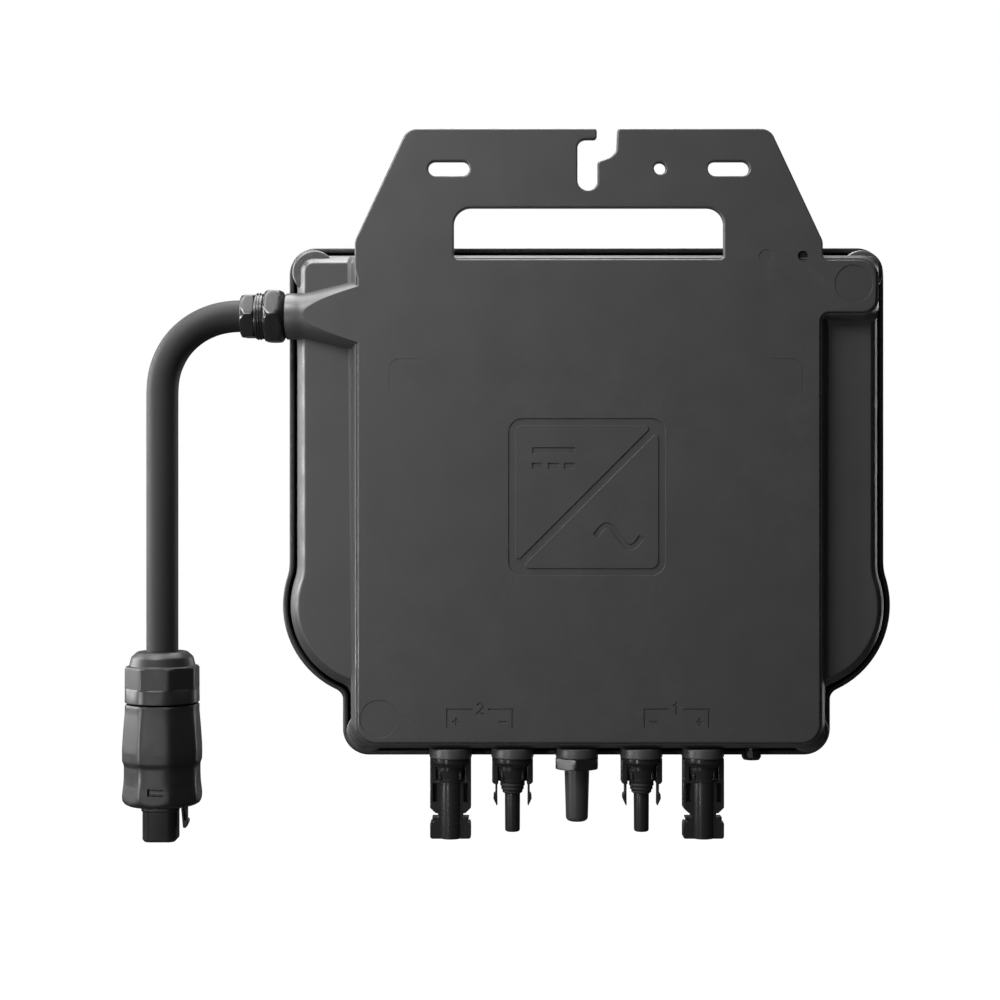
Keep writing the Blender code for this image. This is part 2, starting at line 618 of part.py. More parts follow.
def make_dc_socket(number, x):
    """Socket for one panel lead: side rails, snap windows and a round guide tube."""
    top = ROW_TOP - GAP
    name = f"dc_socket_{number}"
    half, neck = 8.65, 5.15
    rails_top = top - 1.2
    outline = rounded([(x - half, rails_top, 0), (x + half, rails_top, 0), (x + half, -256.0, 0),
                       (x + 6.6, -257.9, 0), (x + neck, -257.9, 0), (x + neck, -259.9, 0),
                       (x + 6.9, -259.9, 0), (x + half, -262.6, 0), (x + half, -269.1, 1.2),
                       (x - half, -269.1, 1.2), (x - half, -262.6, 0), (x - 6.9, -259.9, 0),
                       (x - neck, -259.9, 0), (x - neck, -257.9, 0), (x - 6.6, -257.9, 0),
                       (x - half, -256.0, 0)])
    body = prism(name, outline, ROW_Y - 3.2, ROW_Y + 3.2)
    join(body, cylinder("collar", 8.5, 0, 9.0, (x, ROW_Y, top - 9.0), (0, 0, 1), 20, chamfer=0.6))
    join(body, cylinder("guide", 5.2, 0.2, 30.0, (x, ROW_Y, -269.1), (0, 0, 1), 16))
    join(body, cylinder("stem", 4.6, 0, 14.0, (x, ROW_Y, top - 2.0), (0, 0, 1), 12))
    for side in (-1, 1):
        middle = x + side * 6.5
        window = box_outline(middle - 1.05, middle + 1.05, -253.6, -245.5)
        cut(body, prism("window", window, ROW_Y - 10.0, ROW_Y + 10.0))
    cut(body, cylinder("mouth", 3.9, -OVER, 22.0, (x, ROW_Y, -269.1), (0, 0, 1), 16))
    cut(body, cylinder("contact_bore", 2.0, 20.0, 60.0, (x, ROW_Y, -269.1), (0, 0, 1), 10))
    for modifier in body.modifiers:
        modifier.solver = "MANIFOLD"      # the exact solver leaves slits between rails and guide
    finish(body, name, "black_plastic")
    contact = cylinder("contact", 1.7, 0, 26.0, (x, ROW_Y, -246.0), (0, 0, 1), 10, chamfer=0.4)
    finish(contact, name + "_contact", "tinned")


def make_dc_plug(number, x):
    """Plug for one panel lead: collar, stepped rubber seal, tube with pin, two snap arms."""
    top = ROW_TOP - GAP
    name = f"dc_plug_{number}"
    body = cylinder(name, 8.5, -246.0, top, (x, ROW_Y, 0), (0, 0, 1), 20, chamfer=0.8)
    join(body, cylinder("tube", 3.2, -266.5, -240.0, (x, ROW_Y, 0), (0, 0, 1), 16))
    join(body, cylinder("stem", 4.6, top - 2.0, top + 12.0, (x, ROW_Y, 0), (0, 0, 1), 12))
    cut(body, cylinder("pin_bore", 1.6, -270.0, -210.0, (x, ROW_Y, 0), (0, 0, 1), 10))
    for side in (-1, 1):
        slot = block("arm_slot", (x + side * 6.9 - 1.5, x + side * 6.9 + 1.5), (ROW_Y - 3.2, ROW_Y + 3.2),
                     (-250.0, -240.6))
        cut(body, slot)
    finish(body, name, "black_plastic")
    seal = turned("seal", [(4.6, -246.3), (5.2, -247.0), (4.6, -247.8), (4.6, -248.2), (4.9, -248.7),
                           (4.0, -249.8), (3.5, -249.8), (3.5, -246.3)], (x, ROW_Y, 0), (0, 0, 1), 14,
                  ring=True)
    finish(seal, name + "_seal", "black_rubber")
    pin = cylinder("pin", 1.3, -264.5, -212.0, (x, ROW_Y, 0), (0, 0, 1), 8, chamfer=0.4)
    finish(pin, name + "_pin", "tinned")
    for side, word in ((-1, "left"), (1, "right")):
        outline = [Vector((x + side * u, v)) for u, v in (
            (6.35, -241.0), (7.3, -241.0), (7.3, -250.3), (8.05, -250.6), (7.95, -252.4), (6.4, -255.4))]
        arm = prism("arm", outline, ROW_Y - 2.6, ROW_Y + 2.6)
        finish(arm, f"{name}_arm_{word}", "black_plastic")
        hang_on(arm, f"{name}_arm_{word}_pivot", (x + side * 6.8, ROW_Y, -241.0))


def make_antenna():
    """Stub antenna: hex base, tapered cap and the radiating rod inside it."""
    x, top = ANTENNA_X, ROW_TOP - GAP
    base = cylinder("antenna_base", 10.2, -239.6, top, (x, ROW_Y, 0), (0, 0, 1), 6, phase=8.0, chamfer=0.6)
    join(base, cylinder("stem", 4.6, top - 2.0, top + 12.0, (x, ROW_Y, 0), (0, 0, 1), 12))
    cut(base, cylinder("rod_bore", 1.6, -250.0, -210.0, (x, ROW_Y, 0), (0, 0, 1), 10))
    finish(base, "antenna_base", "black_plastic")
    cover = turned("antenna_cover", [(0, -239.9), (5.5, -239.9), (4.9, -259.6), (4.2, -261.2),
                                     (2.5, -262.0), (0, -262.0)], (x, ROW_Y, 0), (0, 0, 1), 18)
    cut(cover, cylinder("rod_bore", 1.6, -260.0, -230.0, (x, ROW_Y, 0), (0, 0, 1), 10))
    finish(cover, "antenna_cover", "black_rubber")
    rod = cylinder("rod", 1.3, -259.0, -212.0, (x, ROW_Y, 0), (0, 0, 1), 8, chamfer=0.3)
    finish(rod, "antenna_element", "brass")


def build():
    """Make every piece of the inverter."""
    make_front_housing()
    make_back_cover()
    make_cover_seal()
    make_cover_screws()
    make_vent_plug()
    make_board()
    make_components()
    make_ac_leads()
    make_gland()
    make_cable()
    make_ac_plug()
    make_plug_latch()
    for number, (socket_x, plug_x) in enumerate(zip(SOCKET_X, DC_PLUG_X), 1):
        make_dc_socket(number, socket_x)
        make_dc_plug(number, plug_x)
    make_antenna()


build()
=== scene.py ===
# %% [markdown]
# # A micro inverter, surface by surface
#
# A micro inverter hangs behind a solar panel and turns its direct current into mains current.
# The real one is a black powder-coated casting with a hanging bracket, a cable with a round plug
# on the left and a row of snap connectors below. The frame holds its plain solids. This lesson
# gives each one the surface that a maker would draw: fillets, draft, sunk marks and coatings.
#
# The frame comes first, because every piece rides on one of its bodies. Its box is kept.

# %% Load the frame
import math

import bmesh
import bpy
import numpy as np
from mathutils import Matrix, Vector, geometry


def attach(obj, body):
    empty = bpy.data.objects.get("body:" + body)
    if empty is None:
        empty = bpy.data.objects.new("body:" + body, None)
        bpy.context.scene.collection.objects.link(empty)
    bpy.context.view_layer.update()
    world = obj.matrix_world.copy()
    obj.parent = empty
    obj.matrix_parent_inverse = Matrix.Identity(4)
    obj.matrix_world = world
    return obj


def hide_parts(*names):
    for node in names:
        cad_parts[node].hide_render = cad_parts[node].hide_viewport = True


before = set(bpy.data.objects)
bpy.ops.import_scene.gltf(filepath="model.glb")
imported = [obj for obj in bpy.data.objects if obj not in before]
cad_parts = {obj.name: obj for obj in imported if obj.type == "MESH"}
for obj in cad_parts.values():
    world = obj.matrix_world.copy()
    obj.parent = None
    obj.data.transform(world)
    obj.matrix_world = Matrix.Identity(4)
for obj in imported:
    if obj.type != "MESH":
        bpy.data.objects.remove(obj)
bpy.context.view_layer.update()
MM = 0.001

# %% [markdown]
# ## The camera
#
# The bracket's face looks along -Y, so the camera stands in front of it and looks along +Y. It is
# a little left of the bracket's centre and level with the middle of the body, which also shows
# a sliver of the rim on every side. Its distance is what makes the rim, 20 mm further back,
# look slightly smaller than the panel.

# %% Camera
CAMERA_PLACE = (-37.2, -750.0, -126.0)


def add_camera():
    """A camera that looks straight along +Y."""
    data = bpy.data.cameras.new("studio_camera")
    data.lens = 64.5
    data.sensor_width = 36.0
    data.clip_start = 0.01
    data.clip_end = 20.0
    camera = bpy.data.objects.new("studio_camera", data)
    camera.location = Vector(CAMERA_PLACE) * MM
    camera.rotation_euler = (math.pi / 2, 0, 0)
    bpy.context.scene.collection.objects.link(camera)
    bpy.context.scene.camera = camera


add_camera()
print("camera at", CAMERA_PLACE, "mm")

# %% [markdown]
# ## The cable's route
#
# The AC cable leaves the gland straight, turns down in one wide bend and hangs into its plug.
# Its route is a short list of points on one smooth curve, the same as the frame's. A Catmull-Rom
# curve passes through all of them, so the cable has no corners.

# %% Cable route
GLAND_AXIS = (10.0, -48.2)
PLUG_AXIS = (-180.4, 10.0)
CABLE_DIAMETER = 13.4
CABLE_POINTS = [
    (-129.0, 10.0, -48.2), (-141.0, 10.0, -48.2), (-150.5, 10.0, -48.2), (-159.0, 10.0, -49.9),
    (-167.0, 10.0, -53.9), (-173.6, 10.0, -60.0), (-178.0, 10.0, -67.6), (-180.1, 10.0, -76.0),
    (-180.4, 10.0, -88.0), (-180.4, 10.0, -106.0), (-180.4, 10.0, -126.0), (-180.4, 10.0, -146.0),
    (-180.4, 10.0, -166.0), (-180.4, 10.0, -182.0), (-180.4, 10.0, -198.0)]


def smooth_line(points, steps):
    """Catmull-Rom curve: each stretch blends four neighbouring points by a cubic in t."""
    p = np.array(points, float)
    p = np.vstack([2 * p[0] - p[1], p, 2 * p[-1] - p[-2]])
    t = (np.arange(steps) / steps)[None, :, None]
    a, b, c, d = (p[k:len(p) - 3 + k, None, :] for k in range(4))
    curve = 0.5 * (2 * b + (c - a) * t + (2 * a - 5 * b + 4 * c - d) * t ** 2
                   + (3 * b - a - 3 * c + d) * t ** 3)
    return np.vstack([curve.reshape(-1, 3), p[-2]])


cable_line = smooth_line(CABLE_POINTS, 8)

# %% [markdown]
# ## Outlines and skins
#
# Almost every piece here is an outline that is carried back through a profile: the casting, its
# rim, the connectors. `rounded` draws an outline with arcs at its corners, and `moved_in` shifts
# an outline sideways by a distance, so that fillets and walls run parallel to it. A bevel would
# do for one edge, but not for draft, lips and fillets that meet.

# %% Outlines
def rounded(corners, step=7.0, closed=True):
    """Outline through (u, v, radius) corners. Each corner with a radius becomes an arc that
    touches both sides: its centre lies on the corner's bisector, radius / sin(half angle) away."""
    points = []
    count = len(corners)
    for i, (u, v, radius) in enumerate(corners):
        here = np.array((u, v), float)
        if radius == 0 or (not closed and i in (0, count - 1)):
            points.append(here[None])
            continue
        back = np.array(corners[i - 1][:2]) - here
        ahead = np.array(corners[(i + 1) % count][:2]) - here
        back /= np.linalg.norm(back)
        ahead /= np.linalg.norm(ahead)
        half = math.acos(np.clip(back @ ahead, -1, 1)) / 2
        bisector = (back + ahead) / np.linalg.norm(back + ahead)
        centre = here + bisector * radius / math.sin(half)
        start = here + back * radius / math.tan(half) - centre
        turn = math.pi - 2 * half
        if back[0] * ahead[1] - back[1] * ahead[0] > 0:
            turn = -turn
        steps = max(3, math.ceil(abs(math.degrees(turn)) / step))
        angle = np.linspace(0, turn, steps + 1)[:, None]
        points.append(centre + np.cos(angle) * start
                      + np.sin(angle) * np.array((-start[1], start[0])))
    return np.vstack(points)


def rectangle(u0, v0, u1, v1, radius):
    """Rounded rectangle, from one corner to the opposite one."""
    return rounded([(u0, v0, radius), (u1, v0, radius), (u1, v1, radius), (u0, v1, radius)])


def circle(u, v, radius, count=48):
    """Round outline."""
    angle = np.arange(count) * math.tau / count
    return np.stack([u + radius * np.cos(angle), v + radius * np.sin(angle)], 1)


def moved_in(outline, distance):
    """Outline shifted inwards. Each point moves along the mitre of its two sides' normals."""
    sides = np.roll(outline, -1, 0) - outline
    area = (outline[:, 0] * np.roll(outline[:, 1], -1) - outline[:, 1] * np.roll(outline[:, 0], -1)).sum()
    normal = np.stack([-sides[:, 1], sides[:, 0]], 1) / np.linalg.norm(sides, axis=1)[:, None]
    if area < 0:
        normal = -normal
    before = np.roll(normal, 1, 0)
    return outline + distance * (normal + before) / (1 + (normal * before).sum(1))[:, None]


def stroke(line, width):
    """Outline of a pen stroke along an open line: its two sides, moved apart by the width."""
    line = np.array(line, float)
    run = np.diff(line, axis=0)
    run /= np.linalg.norm(run, axis=1)[:, None]
    normal = np.stack([-run[:, 1], run[:, 0]], 1)
    first, last = np.vstack([normal[:1], normal]), np.vstack([normal, normal[-1:]])
    side = width / 2 * (first + last) / (1 + (first * last).sum(1))[:, None]
    return np.vstack([line + side, (line - side)[::-1]])


# %% [markdown]
# ## From rings to a mesh
#
# A skin collects the rings of a piece and its flat faces until they become one closed mesh. Flat
# faces with holes are cut into Delaunay triangles. A smooth-shaded mesh would smear the shade
# of a fillet over the flat face beside it, so the flat face's normal is kept at its border.

# %% Skins
AXIS_ORDER = {"X": (2, 0, 1), "Y": (0, 2, 1), "Z": (0, 1, 2)}


def surrounds(loop, points):
    """Which points lie inside a loop: a ray to the right of them crosses it an odd number of
    times."""
    (u0, v0), (u1, v1) = loop.T[:, :, None], np.roll(loop, -1, 0).T[:, :, None]
    u, v = points.T
    spans = (v0 > v) != (v1 > v)
    cross = u0 + (v - v0) * (u1 - u0) / np.where(v1 == v0, 1.0, v1 - v0)
    return (spans & (u < cross)).sum(0) % 2 == 1


class Skin:
    """Rings and flat faces of one piece, in millimetres, before they become a mesh."""

    def __init__(self):
        self.points, self.faces, self.wear, self.plain, self.count = [], [], [], [], 0

    def _add(self, points, faces, wear, plain):
        """Append points and faces; face indices count on from the points already here."""
        self.points.append(points)
        self.faces.extend((faces + self.count).tolist())
        self.wear.append(np.broadcast_to(wear, len(points)).astype(float))
        self.plain.extend([plain] * len(faces))
        self.count += len(points)

    def rings(self, rings, wear=None):
        """Quads between closed rings, given as an array of ring, point, coordinate."""
        rows, around, _ = rings.shape
        k = np.arange(around)
        first = (np.arange(rows - 1) * around)[:, None]
        after = (k + 1) % around
        quads = np.stack([first + k, first + after, first + around + after, first + around + k], 2)
        worn = 0.0 if wear is None else np.repeat(wear, around)
        self._add(rings.reshape(-1, 3), quads.reshape(-1, 4), worn, False)

    def flat(self, loops):
        """A flat face inside its first loop and outside the others, by Delaunay triangles."""
        points = np.vstack(loops)
        level = np.ptp(points, axis=0).argmin()
        plane = [k for k in range(3) if k != level]
        starts = np.cumsum([0] + [len(loop) for loop in loops])
        edges = [(a, a + 1 if a + 1 < end else start)
                 for start, end in zip(starts, starts[1:]) for a in range(start, end)]
        found = geometry.delaunay_2d_cdt([Vector(p) for p in points[:, plane]], edges, [], 0, 1e-6)
        placed = np.empty((len(found[0]), 3))
        placed[:, plane] = found[0]
        placed[:, level] = points[0, level]
        triangles = np.array(found[2], int)
        middles = placed[triangles][:, :, plane].mean(1)
        depth = sum(surrounds(loop[:, plane], middles).astype(int) for loop in loops)
        self._add(placed, triangles[depth == 1], 0.0, True)

    def mesh(self, name, turn_smooth=33.0):
        """The closed mesh: doubles merged, normals outwards, wear kept as an attribute."""
        data = bpy.data.meshes.new(name)
        data.from_pydata((np.vstack(self.points) * MM).tolist(), [], self.faces)
        for label, kind, domain, values in (("wear", "FLOAT", "POINT", np.hstack(self.wear)),
                                            ("plain", "INT", "FACE", np.array(self.plain, int))):
            data.attributes.new(label, kind, domain).data.foreach_set("value", values)
        shell = bmesh.new()
        shell.from_mesh(data)
        bmesh.ops.remove_doubles(shell, verts=shell.verts, dist=0.000004)
        bmesh.ops.dissolve_degenerate(shell, edges=shell.edges, dist=0.000001)
        bmesh.ops.recalc_face_normals(shell, faces=shell.faces)
        shell.to_mesh(data)
        shell.free()
        data.shade_smooth()
        data.set_sharp_from_angle(angle=math.radians(turn_smooth))
        keep_flat(data, math.cos(math.radians(turn_smooth)))
        return data


def read(collection, field, width=1):
    """One field of every item in a mesh collection, as an array."""
    values = np.empty(len(collection) * width, np.float32)
    collection.foreach_get(field, values)
    return values.reshape(-1, width) if width > 1 else values


def keep_flat(data, least):
    """Corner normals: where a flat face meets a fillet, both take the flat face's normal, so
    the flat face shows no shade of the fillet. Elsewhere the smooth normal stays."""
    corner_point = read(data.loops, "vertex_index").astype(int)
    corner_face = np.repeat(np.arange(len(data.polygons)), read(data.polygons, "loop_total").astype(int))
    face_normal = read(data.polygons, "normal", 3)
    plain = read(data.attributes["plain"].data, "value") > 0
    flats = np.zeros((len(data.vertices), 3))
    chosen = plain[corner_face]
    np.add.at(flats, corner_point[chosen], face_normal[corner_face[chosen]])
    size = np.linalg.norm(flats, axis=1, keepdims=True)
    flats = np.divide(flats, size, out=np.zeros_like(flats), where=size > 0.5)
    normals = read(data.corner_normals, "vector", 3)
    near = (flats[corner_point] * face_normal[corner_face]).sum(1) > least
    normals[near] = flats[corner_point][near]
    data.normals_split_custom_set(normals.tolist())


def upright(outline, depth, axis="Y"):
    """A flat outline placed at one depth: u, v and depth go to the two sides and the axis."""
    flat = np.column_stack([outline, np.full(len(outline), float(depth))])
    return flat[:, AXIS_ORDER[axis]]


def carried(outline, profile, axis="Y"):
    """Rings of an outline carried along a profile of (inset, depth) points."""
    return np.array([upright(moved_in(outline, inset), depth, axis) for inset, depth in profile])


def turned(profile, centre, axis="Z", count=64):
    """Rings of a turned shape: each (radius, height) point of the profile becomes a circle."""
    profile = np.array(profile, float)
    angle = np.arange(count) * math.tau / count
    u = profile[:, :1] * np.cos(angle)
    v = profile[:, :1] * np.sin(angle)
    h = np.repeat(profile[:, 1:2], count, 1)
    rings = {"Z": (u, v, h), "X": (h, u, v), "Y": (u, h, v)}[axis]
    return np.stack(rings, 2) + np.array(centre, float)


def lathe(skin, corners, centre, axis="Z", step=15.0, worn=None, reach=0.4):
    """A turned piece from rounded (radius, height) corners. Its rub falls off from the worn
    height h as exp(-((height - h) / reach) ** 2)."""
    profile = rounded(corners, step, closed=False)
    wear = None if worn is None else np.exp(-((profile[:, 1] - worn) / reach) ** 2)
    skin.rings(turned(profile, centre, axis, 72), wear)


def ends(skin, rings):
    """Flat faces on the first and the last ring."""
    skin.flat([rings[0]])
    skin.flat([rings[-1]])


def solid(skin, outline, profile, axis="Y"):
    """A closed block: an outline carried along a profile, with a flat face at each end."""
    rings = carried(outline, profile, axis)
    skin.rings(rings)
    ends(skin, rings)


def edge(radius, depth, sign=1, steps=4):
    """Quarter-round edge as (inset, depth) points, from the face at that depth to the wall."""
    angle = np.linspace(0, math.pi / 2, steps + 1)
    return list(zip(radius * (1 - np.sin(angle)), depth + sign * radius * (1 - np.cos(angle))))


def slab_profile(front, back, radius, steps=4):
    """Profile of a plate with a quarter-round edge at its front and at its back."""
    return edge(radius, front, 1, steps) + edge(radius, back, -1, steps)[::-1]


def plate(skin, outline, holes, front, back, radius, marks=()):
    """A plate with rounded edges outside and in its holes. Its front face also leaves out the
    loops of its marks. The flat faces carry no rub."""
    profile = np.array(slab_profile(front, back, radius))
    # The rub on the edges lightens them: real wear, and on the casting, whose rub is raised, also a painted
    # highlight.
    wear = np.exp(-((profile[:, 1] - front - radius / 4) / (0.7 * radius)) ** 2)
    wear[0] = 0.0
    fronts, backs = [], []
    for loop, way in [(outline, 1), *((hole, -1) for hole in holes)]:
        rings = carried(loop, profile * (way, 1))
        skin.rings(rings, wear)
        fronts.append(rings[0])
        backs.append(rings[-1])
    skin.flat(fronts + [upright(loop, front) for loop in marks])
    skin.flat(backs)


def make_piece(name, skin, material, body="inverter", stands_for=(), smooth=33.0):
    """Turn a skin into an object that rides on a body, and hide what it stands for."""
    data = skin.mesh(name, smooth)
    data.materials.append(material)
    piece = bpy.data.objects.new(name, data)
    bpy.context.scene.collection.objects.link(piece)
    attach(piece, body)
    if stands_for:
        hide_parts(*stands_for)
    print(f"{name}: {len(data.polygons)} faces")
    return piece


# %% [markdown]
# ## Grain, rub and painted edge highlight
#
# Two effects belong to every finish here: a fine grain with slow, slightly cloudy changes of
# gloss, and edges that handling has rubbed, which are lighter in colour. On the casting this
# lightening is pushed further, so that it also stands in for the thin highlights along its edges:
# there it is partly real wear and partly a painted highlight. Each is a node group, built once,
# that only puts out values. The rub reads the wear value that the skins gave their points,
# because that marks real edges, which a curvature trick would have to guess.

# %% Node groups
def add_node(tree, kind, settings=(), values=()):
    """A shader node with its settings, and values for the inputs that stay unlinked."""
    node = tree.nodes.new("ShaderNode" + kind)
    for field, setting in dict(settings).items():
        setattr(node, field, setting)
    for label, value in dict(values).items():
        node.inputs[label].default_value = value
    return node


def new_group(name, given, result):
    """A node group with a vector input, one number input and its number outputs."""
    group = bpy.data.node_groups.new(name, "ShaderNodeTree")
    group.interface.new_socket("Vector", in_out="INPUT", socket_type="NodeSocketVector")
    label, value = given
    group.interface.new_socket(label, in_out="INPUT", socket_type="NodeSocketFloat").default_value = value
    for output in result:
        group.interface.new_socket(output, in_out="OUTPUT", socket_type="NodeSocketFloat")
    return group, group.nodes.new("NodeGroupInput").outputs, group.nodes.new("NodeGroupOutput").inputs


def grain_group():
    """Fine grain with slow clouds: noise at the grain's size, and noise 40 times as large."""
    group, given, result = new_group("surface_grain", ("Grain per metre", 3000.0), ("Height", "Clouds"))
    fine = add_node(group, "TexNoise", values={"Detail": 3.0, "Roughness": 0.6})
    slower = add_node(group, "Math", {"operation": "MULTIPLY"}, {1: 1 / 40})
    clouds = add_node(group, "TexNoise", values={"Detail": 2.0})
    link = group.links.new
    link(given["Vector"], fine.inputs["Vector"])
    link(given["Grain per metre"], fine.inputs["Scale"])
    link(given["Grain per metre"], slower.inputs[0])
    link(given["Vector"], clouds.inputs["Vector"])
    link(slower.outputs[0], clouds.inputs["Scale"])
    link(fine.outputs["Fac"], result["Height"])
    link(clouds.outputs["Fac"], result["Clouds"])
    return group


def rub_and_highlight_group():
    """Where an edge is rubbed and lightened, which is real wear and, where the amount is raised, also a
    painted highlight: the piece's own wear value, broken up by noise.
    """
    group, given, result = new_group("edge_rub_and_highlight", ("Amount", 0.5), ("Mask",))
    worn = add_node(group, "Attribute", {"attribute_name": "wear"})
    noise = add_node(group, "TexNoise", values={"Scale": 180.0, "Detail": 4.0})
    patches = add_node(group, "MapRange", values={"From Min": 0.35, "From Max": 0.7})
    product = add_node(group, "Math", {"operation": "MULTIPLY"})
    scaled = add_node(group, "Math", {"operation": "MULTIPLY"})
    link = group.links.new
    link(given["Vector"], noise.inputs["Vector"])
    link(noise.outputs["Fac"], patches.inputs["Value"])
    link(patches.outputs["Result"], product.inputs[0])
    link(worn.outputs["Fac"], product.inputs[1])
    link(product.outputs[0], scaled.inputs[0])
    link(given["Amount"], scaled.inputs[1])
    link(scaled.outputs[0], result["Mask"])
    return group


GRAIN = grain_group()
RUB_AND_HIGHLIGHT = rub_and_highlight_group()
print("node groups:", GRAIN.name, RUB_AND_HIGHLIGHT.name)

# %% [markdown]
# ## Finishes
#
# The casting has a fine powder coat: matt, with a grain of about a third of a millimetre. The
# moulded pieces are smoother and shinier, the cable's jacket is softer, and the hidden pieces
# have the colours that such pieces have. All of them are one recipe with different numbers.

# %% Materials
CLOUD_SHARE, POLISH = 0.25, -0.3


def finish(name, dark, light, rough, grain=3000.0, relief=0.00002, metal=0.0, rub_and_highlight=0.5,
           specular=0.5):
    """A coated or moulded finish. Colour runs from dark to light by a quarter of the clouds plus
    the rub, whose lightening of the edges is real wear and, where its amount is raised, also a
    painted highlight. Roughness runs between its two values with the clouds, less 0.3 times the
    rub, because a rubbed edge is polished."""
    material = bpy.data.materials.new(name)
    material.use_nodes = True
    tree = material.node_tree
    shader, link = tree.nodes["Principled BSDF"].inputs, tree.links.new
    shader["Metallic"].default_value = metal
    shader["Specular IOR Level"].default_value = specular
    place = add_node(tree, "TexCoord")
    texture = add_node(tree, "Group", {"node_tree": GRAIN}, {"Grain per metre": grain})
    rubbed_and_highlighted = add_node(tree, "Group", {"node_tree": RUB_AND_HIGHLIGHT}, {"Amount": rub_and_highlight})
    amount = add_node(tree, "Math", {"operation": "MULTIPLY_ADD", "use_clamp": True}, {1: CLOUD_SHARE})
    tint = add_node(tree, "Mix", {"data_type": "RGBA"}, {"A": (*dark, 1), "B": (*light, 1)})
    gloss = add_node(tree, "MapRange", values={"From Min": 0.3, "From Max": 0.7,
                                               "To Min": rough[0], "To Max": rough[1]})
    polish = add_node(tree, "Math", {"operation": "MULTIPLY_ADD"}, {1: POLISH})
    bump = add_node(tree, "Bump", values={"Distance": relief, "Strength": 0.6})
    link(place.outputs["Object"], texture.inputs["Vector"])
    link(place.outputs["Object"], rubbed_and_highlighted.inputs["Vector"])
    link(texture.outputs["Clouds"], amount.inputs[0])
    link(rubbed_and_highlighted.outputs["Mask"], amount.inputs[2])
    link(amount.outputs[0], tint.inputs["Factor"])
    link(texture.outputs["Clouds"], gloss.inputs["Value"])
    link(texture.outputs["Height"], bump.inputs["Height"])
    link(tint.outputs["Result"], shader["Base Color"])
    link(rubbed_and_highlighted.outputs["Mask"], polish.inputs[0])
    link(gloss.outputs["Result"], polish.inputs[2])
    link(polish.outputs[0], shader["Roughness"])
    link(bump.outputs["Normal"], shader["Normal"])
    return material


# The casting's edges lighten by 0.9 of the rub rather than 0.5: partly real wear, partly a painted highlight
# along its edges and fillets.
POWDER_COAT = finish("powder_coat", (0.050, 0.050, 0.051), (0.076, 0.076, 0.078), (0.40, 0.46),
                     2600, 0.00003, rub_and_highlight=0.9)
RIM_COAT = finish("rim_powder_coat", (0.026, 0.026, 0.027), (0.042, 0.042, 0.043), (0.36, 0.42),
                  2600, 0.00003)
MOULDED = finish("moulded_nylon", (0.017, 0.017, 0.018), (0.029, 0.029, 0.030), (0.22, 0.28),
                 1800, 0.000008)
PLUG_NYLON = finish("plug_nylon", (0.015, 0.015, 0.016), (0.025, 0.025, 0.026), (0.40, 0.46),
                    2200, 0.00001, specular=0.4)
JACKET = finish("cable_jacket", (0.018, 0.018, 0.019), (0.026, 0.026, 0.027), (0.58, 0.64),
                1400, 0.00001, specular=0.28)
RUBBER = finish("seal_rubber", (0.014, 0.014, 0.015), (0.030, 0.030, 0.031), (0.60, 0.72), 2400)
CAP_RUBBER = finish("antenna_rubber", (0.044, 0.044, 0.045), (0.060, 0.060, 0.061), (0.28, 0.34),
                    2000, 0.00001)
STEEL = finish("screw_steel", (0.45, 0.45, 0.46), (0.62, 0.62, 0.63), (0.28, 0.40), 900, 0.00001, 1.0)
TIN = finish("contact_tin", (0.62, 0.62, 0.64), (0.78, 0.78, 0.80), (0.22, 0.32), 1200, 0.000008, 1.0)
BRASS = finish("contact_brass", (0.55, 0.38, 0.15), (0.72, 0.55, 0.28), (0.24, 0.34),
               1200, 0.000008, 1.0)
BOARD = finish("circuit_board", (0.012, 0.085, 0.035), (0.03, 0.16, 0.07), (0.35, 0.5), 700, 0.00001)
POTTING = finish("potting", (0.10, 0.10, 0.105), (0.18, 0.18, 0.19), (0.6, 0.7), 500, 0.00004)
FERRITE = finish("ferrite", (0.04, 0.04, 0.045), (0.08, 0.08, 0.085), (0.55, 0.7), 2000, 0.00003)
TAPE = finish("winding_tape", (0.50, 0.28, 0.05), (0.75, 0.48, 0.12), (0.25, 0.4), 400)
COPPER = finish("enamelled_copper", (0.42, 0.16, 0.06), (0.65, 0.32, 0.16), (0.22, 0.34), 600,
                metal=0.6)
SLEEVE = finish("capacitor_sleeve", (0.02, 0.025, 0.05), (0.05, 0.06, 0.11), (0.25, 0.35), 900, 0.00001)
FILM = finish("film_case", (0.55, 0.36, 0.04), (0.75, 0.55, 0.10), (0.32, 0.42), 900, 0.00001)
RELAY = finish("relay_case", (0.02, 0.06, 0.22), (0.06, 0.14, 0.38), (0.28, 0.38), 900, 0.00001)
SPREADER = finish("spreader_metal", (0.55, 0.55, 0.57), (0.75, 0.75, 0.77), (0.32, 0.45), 700, metal=1.0)
BROWN = finish("lead_brown", (0.11, 0.045, 0.02), (0.18, 0.08, 0.04), (0.35, 0.45), 900, 0.00001)
BLUE = finish("lead_blue", (0.02, 0.09, 0.36), (0.04, 0.15, 0.50), (0.35, 0.45), 900, 0.00001)
GREEN = finish("lead_green", (0.12, 0.34, 0.03), (0.30, 0.55, 0.08), (0.35, 0.45), 900, 0.00001)
print(len(bpy.data.materials), "finishes")

# %% [markdown]
# ## The body's outline
#
# Seen from the front the body is a tall box with a round lobe low on each side, where the two
# big transformers sit. One function gives this outline at any inset, so that the cover's lip,
# the groove, the housing's wall and its fillets all run parallel.

# %% Body outline
RIM_HALF, RIM_TOP, RIM_BOTTOM = 127.8, -17.6, -235.6
TOP_RADIUS, BOTTOM_RADIUS = 11.6, 11.2
LOBE_X, LOBE_Z, LOBE_RADIUS = 90.5, -171.2, 40.15
LOW_HALF = 104.8


